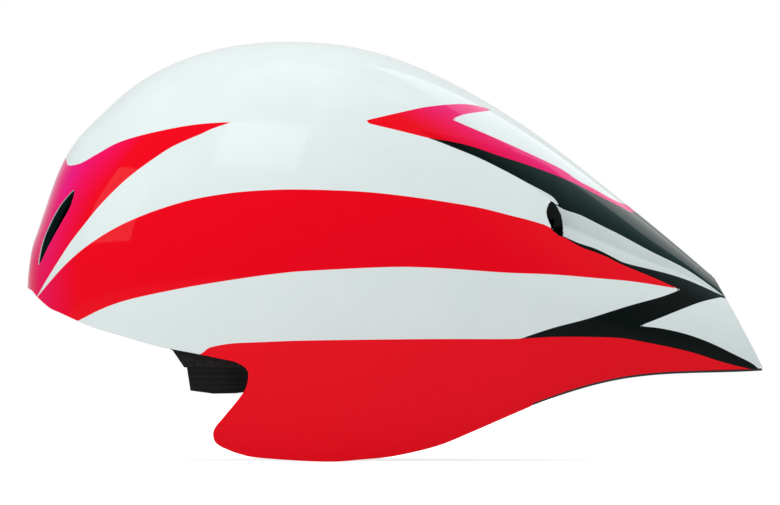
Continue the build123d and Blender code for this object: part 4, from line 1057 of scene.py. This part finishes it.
def head_top(middle_x, middle_y):
    """Places over the head: a along X, b across, depth towards the foam."""
    def place(a, b, depth):
        inset = PAD_GAP + PAD_WALL / 2 - depth
        x, y = middle_x + a, middle_y + b
        left = 1 - ((x - HEAD["x"]) / (HEAD["long"] - inset)) ** 2 - (y / (HEAD["wide"] - inset)) ** 2
        return np.stack([x, y, HEAD["z"] + (HEAD["high"] - inset) * np.sqrt(np.clip(left, 0, 1))], axis=1)
    return place


def ear_wall(side):
    """Places inside an ear cover: a along X, b upwards, depth towards the shell."""
    def place(a, b, depth):
        x, z = EAR_PAD["x"] + a, EAR_PAD["z"] + b
        inset = (EAR_PAD["inset"] - depth)[:, None]
        return (on_skin(np.stack([x, z], axis=1)) - skin_normal(x, z) * inset) * (1, side, 1)
    return place


def line_wall(line, height, side):
    """Places along a plan line, and the line's length: a along the line, b upwards, depth to the
    line's outer side."""
    line = evenly(np.asarray(line, dtype=float), 0.0005)
    walked, run = walked_along(line), unit(np.gradient(line, axis=0))

    def place(a, b, depth):
        at = walked[-1] / 2 + a
        x, y, run_x, run_y = [np.interp(at, walked, column) for column in (*line.T, *run.T)]
        return np.stack([x + depth * run_y, (y - depth * run_x) * side, height + b], axis=1)
    return place, walked[-1]


print("head's space", 2 * HEAD["long"], "by", 2 * HEAD["wide"])

# %% The pads
MM = 0.001
SIDES = (("right", 1), ("left", -1))
cushion("brow_pad", head_wall(math.pi, 0.092), 0.98, 0.0128, PAD_WALL, 6)
for side, sign in SIDES:
    cushion("side_pad_" + side, head_wall(sign * math.pi / 2, 0.098), 0.298, 0.0148, PAD_WALL, 5)
    cushion("crown_pad_" + side, head_top(-0.062, sign * 0.046), 0.047, 0.0108, PAD_WALL, 5)
    cushion("ear_pad_" + side, ear_wall(sign), 0.0375, 0.0165, 0.0034, 2.1, 0.0)
cushion("crown_pad", head_top(-0.062, 0.0), 0.0475, 0.0108, PAD_WALL, 5)
CRADLE_LINE = np.array([(36.75, 34.8), (39.6, 31.2), (41.75, 26.2), (42.2, 16), (42.2, 7.2)]) * MM
for side, sign in SIDES:
    place, reach = line_wall(curve_through(CRADLE_LINE), 0.060, sign)
    cushion("cradle_pad_" + side, place, reach / 2 - 0.0002, 0.0118, 0.0037, 4, 0.0)
print("pads made")

# %% [markdown]
# The straps are woven bands, made as a flat rounded section carried along a line. Their own UV runs
# along and across the band, so the weave follows every bend. The right chin strap crosses a joint,
# so its place is baked into its points and it joins neither body.

# %% Woven bands
WEB_HALF = 0.0008


def webbing(name, line, wide, thick, half_wide, bends=None, around=20):
    """A woven band: at each point of the line a superellipse spans the wide and thick directions."""
    turn = np.linspace(0, 2 * math.pi, around, endpoint=False)
    a = half_wide * np.sign(np.cos(turn)) * np.abs(np.cos(turn)) ** 0.25
    b = WEB_HALF * np.sign(np.sin(turn)) * np.abs(np.sin(turn)) ** 0.55
    wide, thick = (np.broadcast_to(way, line.shape)[:, None] for way in (wide, thick))
    points = line[:, None] + wide * a[:, None] + thick * b[:, None]
    uv = np.stack(np.broadcast_arrays(walked_along(line)[:, None], a), axis=-1).reshape(-1, 2)
    number = np.arange(points.shape[0] * around).reshape(-1, around)
    beside = np.roll(number, -1, axis=1)
    faces = np.stack([number[:-1], beside[:-1], beside[1:], number[1:]], axis=-1).reshape(-1, 4).tolist()
    faces += [number[0][::-1].tolist(), number[-1].tolist()]
    points = points.reshape(-1, 3)
    first = points[faces[0]]
    if (np.cross(first[1] - first[0], first[2] - first[1]) @ (first.mean(0) - line[0])) < 0:
        faces = [face[::-1] for face in faces]
    stands_for(new_piece(name + "_web", points, faces, uv, 60), name, bends)


print("webbing is", 2 * WEB_HALF, "thick")

# %% The straps
CHIN_HALF, SIDE_HALF, STRAP_Y = 0.008, 0.0065, 0.081
STRAP_TOP_GAP, STRAP_POINTS, CHIN_STEP = 0.0012, 40, 0.0014
UP = (0.0, 0.0, 1.0)
for kind, top, foot in (("front", (-0.068, 0.0587), (-0.055, 0.0312)),
                        ("rear", (0.005, 0.0774), (-0.045, 0.0312))):
    top, foot = np.array(top), np.array(foot)
    run = (top - foot) / np.linalg.norm(top - foot)
    start = top - run * STRAP_TOP_GAP
    flat = start + (foot - start) * np.linspace(0, 1, STRAP_POINTS)[:, None]
    for side, sign in SIDES:
        line = np.stack([flat[:, 0], np.full(STRAP_POINTS, STRAP_Y * sign), flat[:, 1]], axis=1)
        webbing(f"strap_{kind}_{side}", line, (run[1], 0.0, -run[0]), (0.0, 1.0, 0.0), SIDE_HALF)

RISE = curve_through(np.array([
    (-54, 24), (-34, 24), (0, 26.04), (30, 31.04), (50, 37.5), (59, 42.67), (87, 42.67)]) * MM)
PLAN = [(-34, 81), (-20, 81), (0, 80.48), (29.96, 76), (50.03, 68.48), (60.95, 56.01), (66.05, 45.98),
        (67, 40), (67, 30)]
CROSSING = ("helmet", "buckle_male", (0.010, 0.080, 0.027), (0.067, 0.024, 0.0427))
for side, sign, end, bends in (("right", 1, 6.4, CROSSING), ("left", -1, 20.1, None)):
    plan = evenly(curve_through(np.array(PLAN + [(67, end)]) * MM), CHIN_STEP)
    line = np.stack([plan[:, 0], plan[:, 1] * sign, np.interp(plan[:, 0], *RISE.T)], axis=1)
    thick = unit(np.cross(np.gradient(line, axis=0), UP))
    webbing("chin_strap_" + side, line, UP, thick, CHIN_HALF, bends)
    print("chin strap", side, round(float(walked_along(line)[-1]), 4), "long")

# %% [markdown]
# Moulded nylon never has a knife's edge. The arms, dividers, levers, buckle and keeper have the
# right form as solids, so copies of them only get their edges broken. The arms join the ring to the
# sliding cradle, so their places are baked into their points and they join neither body.

# %% Arms and small fittings
MERGE = 0.000003


def recast(node, bevel, bends=None):
    """A copy of a CAD piece with its vertices merged, its smooth faces shaded smooth and its sharp
    edges broken by a small bevel."""
    mesh = frame["nodes"][node].data.copy()
    if "custom_normal" in mesh.attributes:
        mesh.attributes.remove(mesh.attributes["custom_normal"])
    shape = bmesh.new()
    shape.from_mesh(mesh)
    bmesh.ops.remove_doubles(shape, verts=shape.verts, dist=MERGE)
    shape.to_mesh(mesh)
    shape.free()
    smooth(mesh, 34)
    obj = placed(node + "_cast", mesh)
    edge = obj.modifiers.new("broken_edges", "BEVEL")
    edge.width, edge.segments, edge.limit_method = bevel, 2, "ANGLE"
    edge.angle_limit = math.radians(50)
    edge.harden_normals = False
    stands_for(obj, node, bends)


for side, sign in SIDES:
    recast("arm_" + side, 0.0003, bends=(
        "ring", "cradle", (-0.060, 0.071 * sign, 0.0575), (0.0440, 0.0400 * sign, 0.060)))
for node in ("buckle_male", "buckle_female", "divider_right", "divider_left", "cam_lever_right",
             "cam_lever_left", "strap_keeper"):
    recast(node, 0.00035)

# %% [markdown]
# The photograph is a studio picture from far away, straight at the helmet's left side. A long lens
# gives the same flat view. Large soft lights hang over the camera, over the helmet, by its nose and
# behind it. The world is white to the camera, dimmer in the light it gives, and in mirrored rays it
# grows from grey by the nose to pale behind the helmet. The pale floor shines a little, so it
# vanishes into the white.

# %% Camera
LENS, SENSOR = 0.800, 0.036
COLUMNS, ROWS = 780, 505
SIDE_PLANE = -0.045
scene = bpy.context.scene
scene.render.resolution_x, scene.render.resolution_y = COLUMNS, ROWS
scene.view_settings.view_transform = "Standard"
camera_data = bpy.data.cameras.new("side_camera")
camera_data.lens, camera_data.sensor_width = LENS * 1000, SENSOR * 1000
camera_data.clip_end = 60
camera = placed("side_camera", camera_data)
scene.camera = camera
distance = COLUMNS * PIXEL * LENS / SENSOR
camera.location = ((COLUMNS / 2 - MIDDLE_COLUMN) * PIXEL, SIDE_PLANE - distance,
                   (GROUND_ROW - ROWS / 2) * PIXEL)
camera.rotation_euler = (math.pi / 2, 0, 0)
print("camera's distance", round(distance, 2))

# %% Lights


def soft_light(name, place, size, power, target=(0, 0, 0.12)):
    """A square area light that faces the middle of the helmet."""
    data = bpy.data.lights.new(name, "AREA")
    data.size, data.energy = size, power
    light = placed(name, data)
    light.location = place
    light.rotation_euler = (Vector(target) - Vector(place)).to_track_quat("-Z", "Y").to_euler()


soft_light("over_camera", (-0.5, -1.5, 1.9), 1.1, 17)
soft_light("overhead", (0.1, 0.2, 2.2), 1.4, 7.2)
soft_light("from_nose", (-2.0, -0.7, 0.9), 1.0, 6)
soft_light("from_behind", (1.2, 1.6, 1.6), 1.2, 6)
print("lights", len(bpy.data.lights))

# %% World
WORLD_FILL, WORLD_SEEN, MIRRORED_NOSE, MIRRORED_TAIL = 0.62, 1.0, 0.15, 0.8
scene.world = bpy.data.worlds.new("studio")
scene.world.use_nodes = True
studio = Nodes(scene.world.node_tree)
studio.tree.nodes.clear()
paths = studio.add("ShaderNodeLightPath").outputs
towards = studio.add("ShaderNodeTexCoord").outputs["Generated"]
looking = studio.add("ShaderNodeSeparateXYZ", {"Vector": towards}).outputs
backwards = studio.add("ShaderNodeMath", {0: looking["X"], 1: looking["Y"]}, operation="ADD").outputs[0]
mirrored = studio.between(backwards, MIRRORED_NOSE, MIRRORED_TAIL, -0.1, 0.9)
seen = studio.add("ShaderNodeMath", {0: paths["Is Camera Ray"], 1: paths["Is Transmission Ray"]},
                  operation="ADD", use_clamp=True).outputs[0]
strength = studio.add("ShaderNodeMix", {
    0: paths["Is Glossy Ray"], 2: studio.between(seen, WORLD_FILL, WORLD_SEEN), 3: mirrored},
    data_type="FLOAT").outputs[0]
sky = studio.add("ShaderNodeBackground", {"Color": (1, 1, 1, 1), "Strength": strength})
studio.add("ShaderNodeOutputWorld", {"Surface": sky.outputs["Background"]})
print("world", len(studio.tree.nodes), "nodes")

# %% Floor
FLOOR_RADIUS, FLOOR_CORNERS, FLOOR_DROP, FLOOR_GLOW = 4.0, 96, 0.0002, 0.8
turn = np.linspace(0, 2 * math.pi, FLOOR_CORNERS, endpoint=False)
disc = np.stack([np.cos(turn), np.sin(turn), 0 * turn], axis=1) * FLOOR_RADIUS - (0, 0, FLOOR_DROP)
floor = new_piece("studio_floor", disc, [list(range(FLOOR_CORNERS))])
look = Finish("floor_paper", (0.75, 0.75, 0.75), 0.9, specular=0.0)
look.set("Emission Color", (1, 1, 1, 1))
seen_directly = look.add("ShaderNodeLightPath").outputs["Is Camera Ray"]
look.set("Emission Strength", look.between(seen_directly, 0, FLOOR_GLOW))
floor.data.materials.append(look.material)
print("floor", 2 * FLOOR_RADIUS, "across")
